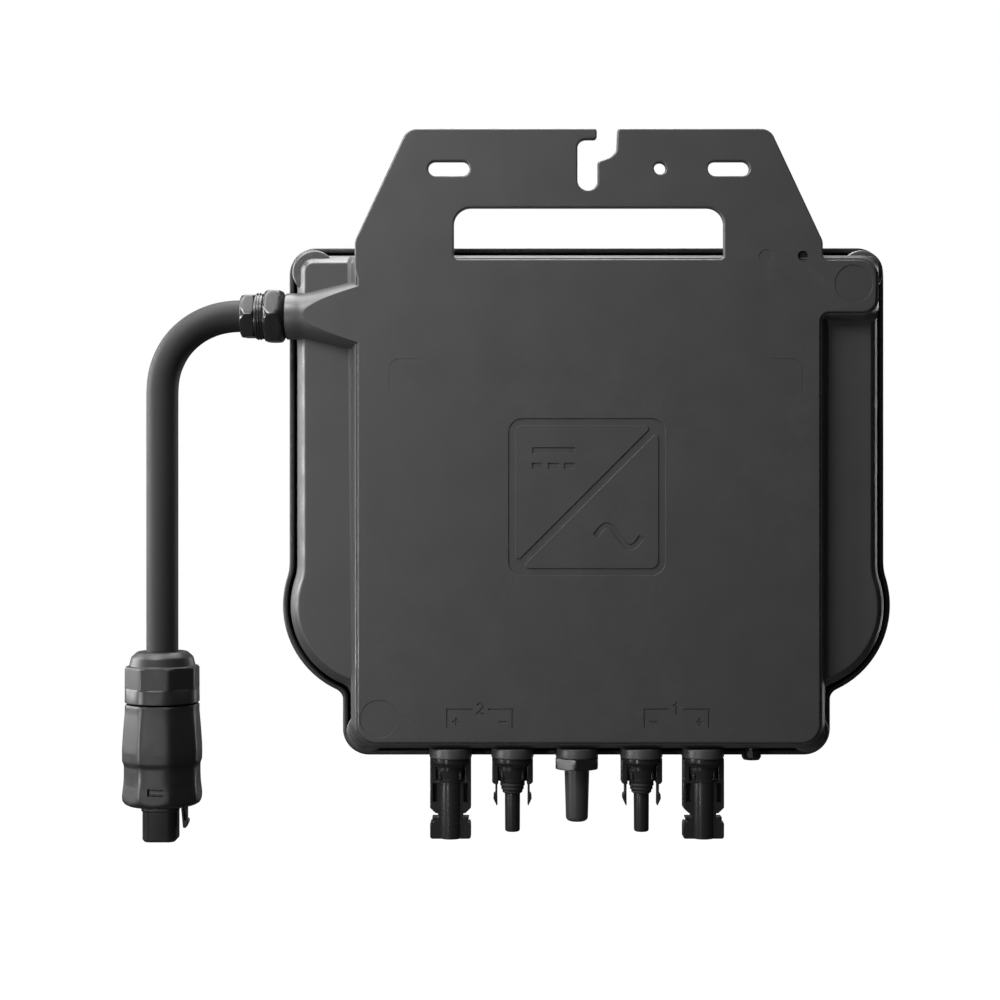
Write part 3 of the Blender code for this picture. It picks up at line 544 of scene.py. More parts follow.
def body_outline(inset):
    """Right half from straight lines, corner arcs and the lobe's arc; the left half mirrors it."""
    half, low_half, lobe = RIM_HALF - inset, LOW_HALF - inset, LOBE_RADIUS - inset
    top, bottom = RIM_TOP - inset, RIM_BOTTOM + inset
    high = math.sqrt(lobe ** 2 - (half - LOBE_X) ** 2)
    start, end = math.asin(high / lobe), -math.acos((low_half - LOBE_X) / lobe)
    angle = np.linspace(start - 0.09, end + 0.07 + 0.006 * inset, 40)
    arc = np.stack([LOBE_X + lobe * np.cos(angle), LOBE_Z + lobe * np.sin(angle)], 1)
    corner = rounded([(0, top, 0), (half, top, TOP_RADIUS - inset), (half, LOBE_Z, 0)])[1:-1]
    join = bend((half, LOBE_Z + high + 4.0), (half, LOBE_Z + high), arc[0])
    hip = bend(arc[-1], (low_half, LOBE_Z + lobe * math.sin(end) - 0.5),
               (low_half, LOBE_Z + lobe * math.sin(end) - 3.0 - 0.4 * inset))
    foot = rounded([(low_half, LOBE_Z, 0), (low_half, bottom, BOTTOM_RADIUS - inset),
                    (0, bottom, 0)])[1:-1]
    side = np.vstack([corner, join, arc[1:-1], hip, foot])
    return np.vstack([side, side[::-1] * (-1, 1)])


def bend(start, knee, end, steps=6):
    """Quadratic Bezier from start to end, pulled towards the knee."""
    t = np.linspace(0, 1, steps + 1)[:, None]
    start, knee, end = (np.array(p, float) for p in (start, knee, end))
    return (1 - t) ** 2 * start + 2 * t * (1 - t) * knee + t ** 2 * end


print("body outline:", len(body_outline(0)), "points")

# %% [markdown]
# ## Back cover
#
# The cover is a shallow tray whose lip stands round the housing. Its profile is drawn once, as
# inset and depth, and carried round the outline: rounded lip, outer wall, rounded back edge, and
# the inner wall down to the floor. Four dished seats take the screws, and three long sunk beads
# and a short one stiffen the flat back.

# %% Back cover
BACK, RIM_FRONT, RIM_WALL, FLOOR = 41.2, 20.5, 2.15, 38.8
SCREWS = [(-114.5, -30.5), (114.5, -30.5), (-95.0, -222.5), (95.0, -222.5)]


def body_rings(profile):
    """The body's outline carried along a profile of (inset, depth) points."""
    return np.array([upright(body_outline(inset), depth) for inset, depth in profile])


def sink(skin, loop, depth, face, slope=0.2, steps=2, axis="Y"):
    """Wall and floor of a mark sunk into a face; sign of depth gives the side."""
    t = np.linspace(0, 1, steps + 1)
    profile = list(zip(slope * t, face + depth * (3 * t ** 2 - 2 * t ** 3)))
    rings = carried(loop, profile, axis)
    skin.rings(rings, np.linspace(0.6, 0.0, steps + 1))
    return rings[-1]


def make_cover():
    """The body's outline on the profile of lip, wall and floor; the flat back has marks that
    sink 0.7 mm along the curve 3 t ** 2 - 2 t ** 3."""
    skin = Skin()
    profile = rounded([(8.0, BACK, 0), (0, BACK, 2.2), (0, RIM_FRONT, 0.75),
                       (RIM_WALL, RIM_FRONT, 0.75), (RIM_WALL, FLOOR, 0), (8.0, FLOOR, 0)],
                      step=18, closed=False)
    wear = np.exp(-((profile[:, 1] - RIM_FRONT) / 0.9) ** 2)
    wear += np.exp(-(((profile[:, 1] - BACK) / 1.4) ** 2 + ((profile[:, 0] - 0.6) / 1.4) ** 2))
    rings = body_rings(profile)
    skin.rings(rings, wear)
    seats = [circle(x, z, 6.0) for x, z in SCREWS]
    beads = [rectangle(x - 5, -180, x + 5, -60, 4.9) for x in (-70, 0, 70)]
    marks = seats + [rectangle(-30, -205, 30, -195, 4.9)] + beads
    skin.flat([rings[0]] + [upright(loop, BACK) for loop in marks])
    for loop in marks:
        skin.flat([sink(skin, loop, -0.7, BACK, 1.2, 4)])
    skin.flat([rings[-1]])
    return make_piece("back_cover_skin", skin, RIM_COAT, stands_for=["back_cover"])


make_cover()

# %% [markdown]
# ## Cast housing
#
# The front casting has three levels: the raised panel with the bracket, the wings beside it, and
# the groove inside the rim. Draft and fillets join them, as they must in a die casting, and
# these narrow slopes are what catches the light. The tray is the body outline on a profile; the
# panel's skirt is the panel's outline on another, held back where the wall of the tray is near.

# %% Panel and bracket outlines
WING, PLATE_BACK = 7.0, 4.0
PANEL_HALF, PANEL_TOP, PANEL_BOTTOM = 97.0, -25.3, -227.9
BLOCK_RIGHT, BLOCK_LOW = 120.6, -47.4

panel_outline = rounded([
    (-PANEL_HALF, PANEL_TOP, 1.5), (-PANEL_HALF, PANEL_BOTTOM, 8.0), (PANEL_HALF, PANEL_BOTTOM, 8.0),
    (PANEL_HALF, BLOCK_LOW, 4.0), (BLOCK_RIGHT, BLOCK_LOW, 6.0), (BLOCK_RIGHT, PANEL_TOP, 7.2)])
front_outline = rounded([
    (-76.0, 29.6, 6.0), (-98.1, -17.5, 6.0), (-98.1, PANEL_TOP - 4.0, 3.0),
    (-PANEL_HALF, PANEL_TOP - 8.0, 3.0), (-PANEL_HALF, PANEL_BOTTOM, 8.0), (PANEL_HALF, PANEL_BOTTOM, 8.0),
    (PANEL_HALF, BLOCK_LOW, 4.0), (BLOCK_RIGHT, BLOCK_LOW, 6.0), (BLOCK_RIGHT, PANEL_TOP, 7.2),
    (98.1, PANEL_TOP, 2.4), (98.1, -17.5, 6.0), (76.0, 29.6, 6.0),
    (12.0, 29.6, 1.0), (11.6, 20.0, 4.0), (9.0, 17.6, 4.0), (3.7, 15.6, 1.0), (3.7, 3.8, 4.1),
    (-4.7, 3.8, 4.1), (-4.7, 25.1, 3.6), (3.4, 25.1, 1.3), (3.4, 29.6, 1.3)])
through_holes = [
    rounded([(-56.5, -25.1, 1.7), (56.5, -25.1, 1.7), (56.5, -3.6, 7.1), (-56.5, -3.6, 7.1)]),
    *[rectangle(x - 8.65, 9.75, x + 8.65, 15.85, 3.04) for x in (-58.6, 58.6)],
    circle(29.8, 12.9, 2.45)]
print("front outline:", len(front_outline), "points")

# %% [markdown]
# ## Sunk marks
#
# The mould leaves round ejector marks and two faint corners. The two channels are numbered, with
# plus and minus signs. In the middle stands the circuit symbol of an inverter: a square with
# a diagonal, a direct-current sign above it and an alternating-current sign below it.

# %% Marks
SYMBOL_X, SYMBOL_Z, SYMBOL_HALF = -0.8, -124.7, 33.0
PEN = 3.2


def plus(x, z, size=1.6, pen=0.75):
    """Plus sign: twelve corners of a cross."""
    a, b = size, pen / 2
    return np.array([(x - a, z - b), (x - b, z - b), (x - b, z - a), (x + b, z - a), (x + b, z - b),
                     (x + a, z - b), (x + a, z + b), (x + b, z + b), (x + b, z + a), (x - b, z + a),
                     (x - b, z + b), (x - a, z + b)])


def minus(x, z, size=1.7, pen=0.75):
    """Minus sign."""
    return stroke([(x - size, z), (x + size, z)], pen)


def digit(number, x, z):
    """Channel number, drawn as one pen stroke about 5 mm tall."""
    if number == 1:
        return stroke([(x - 1.1, z + 1.2), (x + 0.25, z + 2.3), (x + 0.25, z - 2.4)], 0.95)
    head = np.linspace(math.radians(165), math.radians(-35), 9)
    line = np.stack([x + 1.25 * np.cos(head), z + 1.1 + 1.25 * np.sin(head)], 1)
    return stroke([*line, (x - 1.35, z - 2.0), (x + 1.6, z - 2.0)], 0.9)


def channel_marks(number, x, left, right, signs):
    """Bracket over a pair of connectors, with its number and the two poles."""
    top, low = -213.7, -221.4
    pair = [stroke([(left, low), (left, top), (x - 3.2, top)], 0.8),
            stroke([(x + 3.2, top), (right, top), (right, low)], 0.8), digit(number, x, top + 0.2)]
    for sign, place in signs:
        pair.append(plus(place, -218.9) if sign > 0 else minus(place, -218.9))
    return pair


def corner_mark(x, z, side):
    """Faint corner of a label field: an arm down, an arc and an arm inwards."""
    line = rounded([(x, z - 13.0, 0), (x, z, 4.2), (x + side * 13.0, z, 0)], closed=False)
    return stroke(line, 0.55)


def symbol_shapes():
    """Square frame with a diagonal: one sunk loop, two raised triangles and their signs."""
    half, inner = SYMBOL_HALF, SYMBOL_HALF - PEN
    cut = PEN * 0.75
    frame_loop = rectangle(-half, -half, half, half, 6)
    upper = rounded([(-inner, -inner + cut, 1.2), (inner - cut, inner, 1.2), (-inner, inner, 3.0)])
    lower = rounded([(-inner + cut, -inner, 1.2), (inner, -inner, 3.0), (inner, inner - cut, 1.2)])
    bars = [stroke([(-23.0, 19.5), (-5.0, 19.5)], 2.6)]
    bars += [stroke([(x, 13.0), (x + 4.6, 13.0)], 2.6) for x in (-23.0, -16.3, -9.6)]
    t = np.linspace(0, 1, 33)
    wave = stroke(np.stack([3.5 + 19.5 * t, -16.5 + 4.6 * np.sin(math.tau * t)], 1), 2.6)
    shift = np.array((SYMBOL_X, SYMBOL_Z))
    return frame_loop + shift, [(upper + shift, [b + shift for b in bars]), (lower + shift, [wave + shift])]


def sunk_marks():
    """Loops of the shallow marks on the front, each with its depth."""
    marks = [(loop, 0.35) for loop in channel_marks(2, -45.4, -59.3, -31.9, [(1, -55.6), (-1, -36.0)])]
    marks += [(loop, 0.35) for loop in channel_marks(1, 36.5, 23.4, 50.3, [(-1, 27.3), (1, 46.3)])]
    marks += [(circle(110.9, -35.5, 8.05), 0.22), (circle(-87.9, -217.7, 8.05), 0.22),
              (circle(74.1, -23.9, 2.75), 0.15), (circle(89.7, -23.8, 2.25, 32), 2.6)]
    marks += [(corner_mark(-83.3, -67.0, 1), 0.12), (corner_mark(89.6, -67.0, -1), 0.10)]
    return marks


# %% [markdown]
# ## The casting's surfaces
#
# Plate, skirt, tray and screw bosses are made one after another and share one skin. They run
# into each other as the metal does. The gland's boss is a cylinder that widens into a cone and
# is cut flush with the panel, so the cut's edge is the curve that a milled cone shows.

# %% Housing
def make_housing():
    """Outlines carried along (inset, depth) profiles: the plate on a quarter-round edge, the
    skirt on a drafted slope whose x and z are clipped at the tray, the tray on its wall."""
    skin = Skin()
    # Front plate: flat face with marks, rounded edges, straight wall, rounded back edge.
    symbol, islands = symbol_shapes()
    marks = sunk_marks()
    plate(skin, front_outline, through_holes, 0.0, PLATE_BACK, 0.85, [loop for loop, _ in marks] + [symbol])
    for loop, depth in marks:
        skin.flat([sink(skin, loop, depth, 0.0, min(0.12, 0.5 * depth))])
    floor_loops = [sink(skin, symbol, 0.42, 0.0, 0.22)]
    for island, signs in islands:
        foot = moved_in(island, -0.22)
        sink(skin, foot, -0.42, 0.42, 0.22)
        floor_loops.append(upright(foot, 0.42))
        skin.flat([upright(island, 0.0)] + [upright(sign, 0) for sign in signs])
        for sign in signs:
            skin.flat([sink(skin, sign, 0.42, 0.0)])
    skin.flat(floor_loops)
    # Skirt: draft from the panel's edge out to the wings, ending in a soft foot.
    slope = rounded([(0.0, 1.2, 0), (0.0, 0.8, 0.4), (-1.0, 1.4, 0.8), (-2.9, 5.9, 1.4), (-4.9, 7.1, 0),
                     (-4.9, 9.0, 0)], step=15, closed=False)
    skirt = carried(panel_outline, slope)
    skirt[..., 2] = np.clip(skirt[..., 2], -230.6, -22.9)
    reach = np.where(skirt[..., 2] < -208.0, 100.0, 122.4)
    skirt[..., 0] = np.clip(skirt[..., 0], -reach, reach)
    # The rub at the skirt's upper edge lightens it: real wear, and also a painted highlight along the
    # panel's edge.
    skin.rings(skirt, np.exp(-((slope[:, 1] - 1.0) / 0.5) ** 2))
    ends(skin, skirt)
    # Tray: wing face, soft shoulder, drafted wall, and the hollow behind.
    wall = rounded([(9.4, WING, 0), (8.2, WING, 1.0), (7.0, 8.5, 0.8), (6.1, 9.4, 0.8), (4.6, 12.3, 1.4),
                    (3.6, 19.0, 2.0), (3.4, 36.8, 0), (5.9, 36.8, 0), (6.2, 10.6, 0), (9.4, 10.6, 0)],
                   step=12, closed=False)
    tray = body_rings(wall)
    # The rub at the wing's shoulder lightens it: real wear, and also a painted highlight along the shoulder.
    skin.rings(tray, np.exp(-(((wall[:, 1] - 8.2) / 1.2) ** 2 + ((wall[:, 0] - 7.0) / 2.5) ** 2)))
    ends(skin, tray)
    # Screw bosses fill the corners of the groove.
    top_boss, low_boss = TOP_RADIUS - RIM_WALL - 0.25, BOTTOM_RADIUS - RIM_WALL - 0.25
    bosses = [(s * (RIM_HALF - TOP_RADIUS), RIM_TOP - TOP_RADIUS, top_boss, 9.6) for s in (-1, 1)]
    bosses += [(s * (LOW_HALF - BOTTOM_RADIUS), RIM_BOTTOM + BOTTOM_RADIUS, low_boss, 9.6) for s in (-1, 1)]
    for x, z, radius, front in bosses:
        lathe(skin, [(0.01, front, 0), (radius, front, 1.2), (radius, 36.0, 0), (0.01, 36.0, 0)],
              (x, 0, z), "Y", worn=front, reach=0.8)
    return skin


def add_gland_boss(skin):
    """Boss of the cable gland: a cylinder that widens in a cone towards the panel. Where it
    would stand in front of the panel it is cut flush: of each ring of radius r, the part
    within acos(axis depth / r) of the front becomes a straight line."""
    depth, height = GLAND_AXIS
    x = np.array([-127.9, -127.85, -127.6, -127.0, -122.5, -121.2, -120.4, -119.8, -119.0, -117.5, -115.0,
                  -112.0, -109.0, -106.0, -103.0, -100.5, -98.5, -94.0, -93.9])
    radius = np.interp(x, [-127.0, -121.2, -119.8, -94.0], [9.8, 9.8, 10.0, 16.0])
    radius[:3] = 0.01, 9.2, 9.65
    radius[-1] = 0.01
    half = np.arccos(np.minimum(1.0, (depth - 0.012) / np.maximum(radius, depth)))[:, None]
    across = np.linspace(-1, 1, 17)[None, :]
    cut = (radius[:, None] >= depth) * radius[:, None] * np.sin(half) * across
    arc = half + (math.tau - 2 * half) * np.linspace(0, 1, 98)[None, 1:-1]
    y = np.hstack([depth - radius[:, None] * np.cos(half) + 0 * across,
                   depth - radius[:, None] * np.cos(arc)])
    z = height + np.hstack([cut, radius[:, None] * np.sin(arc)])
    rings = np.stack([np.repeat(x[:, None], y.shape[1], 1), y, z], 2)
    skin.rings(rings, np.exp(-((x + 127.5) / 0.8) ** 2))


ROW_Y, ROW_TOP = 9.5, -235.0
ROW_X = (48.8, 22.7, -4.6, -31.9, -58.1)


def add_row_bosses(skin):
    """Short round bosses that carry the connectors: a cylinder with a soft lower edge."""
    for x in ROW_X:
        lathe(skin, [(0.01, -226.0, 0), (2.5, -226.0, 0), (2.5, -230.6, 0), (8.9, -230.8, 0.5),
                     (9.0, ROW_TOP, 0.6), (0.01, ROW_TOP, 0)], (x, ROW_Y, 0), worn=ROW_TOP, reach=0.7)


housing = make_housing()
add_gland_boss(housing)
add_row_bosses(housing)
make_piece("cast_housing_skin", housing, POWDER_COAT, stands_for=["front_housing"])

# %% [markdown]
# ## Cable gland
#
# The cable is clamped where it enters the body. The gland has a hexagonal body whose corners are
# turned off, a ring, and a domed nut that squeezes a rubber sleeve onto the cable. A hexagon
# with turned-off corners is the smaller of two radii: the flat's and the turned one's.

# %% Faceted turned shapes
def flat_radius(angle, sides, phase, across, crisp=40.0):
    """Radius of a polygon with softened corners: a p-norm of its flats' distances.
    r = across / (sum of max(0, cos(angle - flat)) ** p) ** (1 / p)."""
    flats = phase + np.arange(sides) * math.tau / sides
    reach = np.maximum(0, np.cos(angle[..., None] - flats)) ** crisp
    return across / reach.sum(-1) ** (1 / crisp)


def faceted(skin, profile, centre, axis, sides, phase, crisp=200.0, soft=80.0, more=(), sunk=None):
    """Turned shape with flats. Each profile point is (turned radius, height, flat's distance);
    the surface is the soft minimum of the two radii, so a chamfer cuts the flats in arcs.
    More angles can be added to the grid, and sunk(angle, height) gives a depth to push it in."""
    profile = np.array(profile, float)
    angle = np.unique(np.round(np.append(np.linspace(-math.pi, math.pi, 240, endpoint=False), more), 6))
    polygon = flat_radius(angle, sides, phase, 1.0, crisp)
    flats, limit = profile[:, 2:3] * polygon, np.repeat(profile[:, :1], len(angle), 1)
    radius = (flats ** -soft + limit ** -soft) ** (-1 / soft)
    if sunk:
        radius = radius - sunk(angle[None, :], profile[:, 1:2])
    u, v = radius * np.cos(angle), radius * np.sin(angle)
    h = np.repeat(profile[:, 1:2], len(angle), 1)
    place = {"Z": (u, v, h), "X": (h, u, v)}[axis]
    rings = np.stack(place, 2) + np.array(centre, float)
    skin.rings(rings, np.clip((limit[:, 0] < flats.max(1)) * 0.6, 0, 1))
    return rings


def make_gland():
    """Hexagon: along its width, a = -1..1, the turned radius is 12.35 * sqrt(1 - |0.86 a| ** 2.6),
    and six flats cut it. Then a ring with two thread crests, and the nut with its own flats."""
    centre, turn_by = (0, *GLAND_AXIS), math.radians(30)
    along = np.linspace(-1, 1, 15)
    bulge = 12.35 * np.sqrt(1 - (np.abs(along) * 0.86) ** 2.6)
    hexagon = np.column_stack([bulge, -132.8 + 5.3 * along, np.full(15, 10.7)])
    skin = Skin()
    ends(skin, faceted(skin, hexagon, centre, "X", 6, turn_by))
    lathe(skin, [(0.01, -137.4, 0), (9.6, -137.4, 0), (9.6, -140.9, 0.8), (0.01, -140.9, 0)],
          centre, "X", 7.0)
    for x in (-138.6, -139.7):
        lathe(skin, [(9.0, x + 0.5, 0), (10.0, x + 0.1, 0.1), (10.0, x - 0.1, 0.1), (9.0, x - 0.5, 0),
                     (9.0, x + 0.5, 0)], centre, "X", 7.0)
    make_piece("gland_hexagon", skin, MOULDED, stands_for=["gland_body"])
    nut = Skin()
    dome = rounded([(6.85, -141.1, 0), (9.7, -141.1, 0.2), (10.15, -141.6, 0.2), (10.15, -144.6, 1.0),
                    (9.0, -146.4, 1.0), (7.9, -146.95, 0.3), (6.85, -146.95, 0.3), (6.85, -141.1, 0)],
                   step=12, closed=False)
    shape = np.column_stack([dome, np.full(len(dome), 8.85)])
    faceted(nut, shape, centre, "X", 6, turn_by)
    make_piece("gland_dome_nut", nut, MOULDED, "gland_nut", ["gland_nut"])


make_gland()

# %% [markdown]
# ## AC plug
#
# The plug on the cable's end is a round one in three parts. Its cap nut has eight broad flats
# and a domed top. The shell below it swells and narrows along its length, with a sunk key mark
# at the front. The keyed insert comes out below, between the legs of a sprung latch.

# %% AC plug
PLUG_X = PLUG_AXIS[0]
SHELL_RADIUS = 16.6
KEY_SLOT = (-3.5, 3.5, -249.2, -246.1)
KEY_TAB = (-2.1, 9.0, -248.3, -247.0)


def key_mark(angle, height):
    """Depth of the C-shaped groove round a tab: inside the slot's box but not the tab's."""
    across = SHELL_RADIUS * (angle + math.pi / 2)
    inside = [(across > left) & (across < right) & (height > low) & (height < high)
              for left, right, low, high in (KEY_SLOT, KEY_TAB)]
    return 1.6 * (inside[0] & ~inside[1])


def both_sides(lines):
    """Two grid lines for each line, 0.05 mm before and after it, so that a wall stays steep."""
    return np.array([line + gap for line in lines for gap in (-0.05, 0.05)])


def make_plug():
    """Cap nut and shell: turned radii against height, cut by eight flats whose distance from the
    axis is interpolated along the height."""
    place, turn_by = (PLUG_X, 10.0, 0), math.radians(-2.0)
    nut = Skin()
    cap = rounded([(6.9, -208.5, 0), (6.9, -190.1, 0.4), (10.4, -190.1, 2.0), (13.0, -192.4, 2.0),
                   (13.9, -196.0, 0.4), (15.2, -196.3, 0.3), (15.95, -197.2, 0.4), (15.95, -205.4, 0.3),
                   (15.7, -205.9, 0.3), (15.75, -211.5, 0.4), (13.0, -211.8, 0), (6.9, -211.8, 0),
                   (6.9, -208.5, 0)], step=9, closed=False)
    flats = np.interp(-cap[:, 1], [190, 193, 196, 196.4, 205.4, 206.2, 212],
                      [13.6, 13.8, 14.0, 14.8, 14.9, 15.3, 15.4])
    faceted(nut, np.column_stack([cap, flats]), place, "Z", 8, turn_by)
    make_piece("plug_cap_nut", nut, PLUG_NYLON, "plug_nut", ["plug_nut"])
    shell = Skin()
    heights = [212.3, 212.6, 215, 219, 223, 227, 230, 235.5, 236.4, 237.2, 239, 242, 245, 247.5,
               250.3, 251.0, 252.6, 254.0, 254.7]
    radii = [15.2, 15.9, 15.8, 16.2, 16.6, 16.9, 17.1, 17.1, 16.9, 16.4, 16.2, 16.2, 16.4, 16.8,
             17.3, 17.2, 16.9, 15.9, 14.6]
    levels = both_sides((*KEY_SLOT[2:], *KEY_TAB[2:]))
    down = np.unique(np.append(np.linspace(212.3, 254.7, 70), -levels))
    body = np.column_stack([np.interp(down, heights, radii), -down])
    body = np.vstack([[(10.6, -245.0), (10.6, -212.3), (15.2, -212.3)], body,
                      [(11.2, -254.7), (10.6, -254.2), (10.6, -245.0)]])
    flats = np.interp(-body[:, 1], [212, 216, 232, 236.5, 238, 246, 255],
                      [15.0, 15.1, 16.1, 16.0, 15.5, 15.6, 16.2])
    sides = both_sides((*KEY_SLOT[:2], *KEY_TAB[:2])) / SHELL_RADIUS - math.pi / 2
    outer = body[:, 0] > 12.0
    faceted(shell, np.column_stack([body, flats]), place, "Z", 8, turn_by, 160.0, 60.0, sides,
            lambda angle, height: key_mark(angle, height) * outer[:, None])
    make_piece("plug_shell_skin", shell, PLUG_NYLON, stands_for=["plug_shell"])


make_plug()

# %% [markdown]
# ### Insert and latch
#
# The insert is a block with three wells for the contacts. The latch is a springy leg with a
# barb, which a thumb presses towards the insert. Both are outlines carried along an axis.

# %% Insert and latch
def make_insert():
    """Keyed insert: a rounded block with a collar lip and three contact wells, 120 degrees
    apart on an ellipse."""
    x, y = PLUG_X - 0.6, 11.2
    skin = Skin()
    block = rounded([(x - 7.9, y - 7.4, 4.2), (x + 7.7, y - 7.4, 4.2), (x + 7.7, y + 4.6, 2.0),
                     (x - 7.9, y + 4.6, 2.0)])
    profile = rounded([(0.6, -225.0, 0), (0.0, -225.3, 0.2), (0.0, -256.0, 0), (0.0, -257.3, 0.3),
                       (0.5, -257.6, 0.2), (0.5, -269.4, 0.4), (1.4, -270.4, 0.3), (1.8, -270.4, 0)],
                      step=15, closed=False)
    rings = carried(block, profile, "Z")
    skin.rings(rings, np.exp(-((profile[:, 1] + 270.0) / 0.6) ** 2))
    skin.flat([rings[0]])
    wells = []
    for k in range(3):
        angle = math.radians(90 + 120 * k)
        wells.append(circle(x + 4.4 * math.cos(angle), 10.4 + 3.6 * math.sin(angle), 2.1, 40))
    skin.flat([rings[-1]] + [upright(well, -270.4, "Z") for well in wells])
    for well in wells:
        depth = carried(well, [(0, -270.4), (0.12, -270.1), (0.12, -230.0)], "Z")
        skin.rings(depth)
        skin.flat([depth[-1]])
    make_piece("plug_insert_skin", skin, MOULDED, stands_for=["plug_insert"])


def make_latch():
    """Latch beside the insert: the outline of a leg with a barb, and an arch that joins them."""
    corners = [(PLUG_X + u, z, r) for u, z, r in (
        (8.3, -240.0, 0.2), (9.3, -240.0, 0.2), (9.3, -256.2, 0.8), (9.9, -261.9, 0.5), (11.1, -260.9, 0.15),
        (11.3, -262.4, 0.3), (10.2, -264.8, 0.3), (9.1, -264.6, 0.3), (8.3, -256.2, 0.8))]
    skin = Skin()
    solid(skin, rounded(corners), slab_profile(7.4, 12.6, 0.3))
    arch = rounded([(PLUG_X + 8.8, -255.3, 0), (PLUG_X + 10.35, -255.5, 0.5),
                    (PLUG_X + 10.35, -262.2, 0)], closed=False)
    solid(skin, stroke(arch, 0.7), slab_profile(8.2, 11.8, 0.2))
    make_piece("plug_latch_skin", skin, PLUG_NYLON, "plug_latch", ["plug_latch"])


make_insert()
make_latch()

# %% [markdown]
# ## Panel connectors
#
# Each of the two inputs has a socket for one lead of the panel and a plug for the other, so
# that they can't be swapped. A socket is a flat yoke with a round guide through it and
# two windows, where the barbs of a mating plug snap in. A plug is a collar, a tapered core,
# a stepped rubber seal and a tube, with a barbed arm on each side that flexes inwards.

# %% Connector collar
COLLAR_TOP = -235.05


def make_collar(skin, x, low, half=8.65, depth=3.2):
    """Collar under the boss: a snap ring, a tapered core and two side rails with soft edges.
    The core's radius falls linearly from the ring to the tube below it."""
    centre = (x, ROW_Y, 0)
    lathe(skin, [(0.01, COLLAR_TOP, 0), (8.4, COLLAR_TOP, 0), (8.4, -237.0, 0.5), (7.4, -237.4, 0.2),
                 (7.2, -238.6, 0.3), (0.01, -238.6, 0)], centre, worn=-236.9)
    lathe(skin, [(0.01, -237.5, 0), (6.5, -237.5, 0), (6.4, -240.0, 1.0), (5.55, -243.6, 1.0),
                 (5.4, -245.4, 0.7), (0.01, -245.4, 0)], centre, worn=-245.2)
    solid(skin, rectangle(x - 8.0, -237.0, x + 8.0, low + 1.0, 0.3),
          slab_profile(ROW_Y - 0.6, ROW_Y + 2.6, 0.3))
    for side in (-1, 1):
        for face in (-1.0, 1.0):
            nib_x = x + side * 4.3
            nib = rounded([(nib_x - 0.55, -244.0, 0.3), (nib_x + 0.55, -244.0, 0.3),
                           (nib_x + 0.45, -240.2, 0.4), (nib_x - 0.45, -240.2, 0.4)])
            near, far = sorted((ROW_Y + face * 4.9, ROW_Y + face * 2.0))
            solid(skin, nib, slab_profile(near, far, 0.25))
        outer, inner = x + side * half, x + side * 6.0
        rail = [(inner, -235.2, 0.3), (outer, -235.2, 0.2), (outer, low + 0.9, 0.2),
                (outer - side * 0.9, low, 0.2), (inner, low, 0.4)]
        solid(skin, rounded(rail), slab_profile(ROW_Y - depth, ROW_Y + depth, 0.45))


# %% [markdown]
# ### Sockets
#
# The yoke is one flat outline, mirrored left to right, with notches where a release tool grips.
# Its windows are deep recesses, and the guide for the mating tube is turned.

# %% Sockets
def make_socket(number, x):
    """Yoke: half an outline, mirrored by x -> -x, on a quarter-round plate. Guide: a turned
    wall between 3.9 and 5.2 mm radius. Then the collar."""
    skin = Skin()
    half, neck, front = 8.65, 5.3, ROW_Y - 3.2
    corners = [(half, -244.6, 0), (half, -256.0, 0.4), (7.0, -257.6, 0.3), (6.2, -258.3, 0.3),
               (neck, -258.3, 0.3), (neck, -259.9, 0.3), (7.9, -259.9, 0.3), (7.1, -262.2, 0.2),
               (8.2, -261.6, 0.3), (half, -262.8, 0.3), (half, -269.1, 1.1)]
    outline = rounded([(x + u, z, r) for u, z, r in corners] + [(x - u, z, r) for u, z, r in corners[::-1]])
    windows = [rectangle(x + side * 5.45, -245.5, x + side * 7.55, -253.6, 0.3) for side in (-1, 1)]
    plate(skin, outline, [], front, ROW_Y + 3.2, 0.35, windows)
    for window in windows:
        skin.flat([sink(skin, window, 3.0, front, 0.15)])
    lathe(skin, [(3.9, -247.5, 0), (3.9, -269.0, 0.3), (5.15, -269.1, 0.3), (5.2, -244.0, 0),
                 (2.6, -244.0, 0), (2.6, -247.5, 0), (3.9, -247.5, 0)], (x, ROW_Y, 0))
    make_collar(skin, x, -245.3)
    make_piece(f"dc_socket_{number}_skin", skin, MOULDED, stands_for=[f"dc_socket_{number}"])


# %% [markdown]
# ### Plugs
#
# A plug's seal has three lips, each smaller than the one above, drawn as one turned profile.
# The arms are pieces of their own, because each flexes about its root.

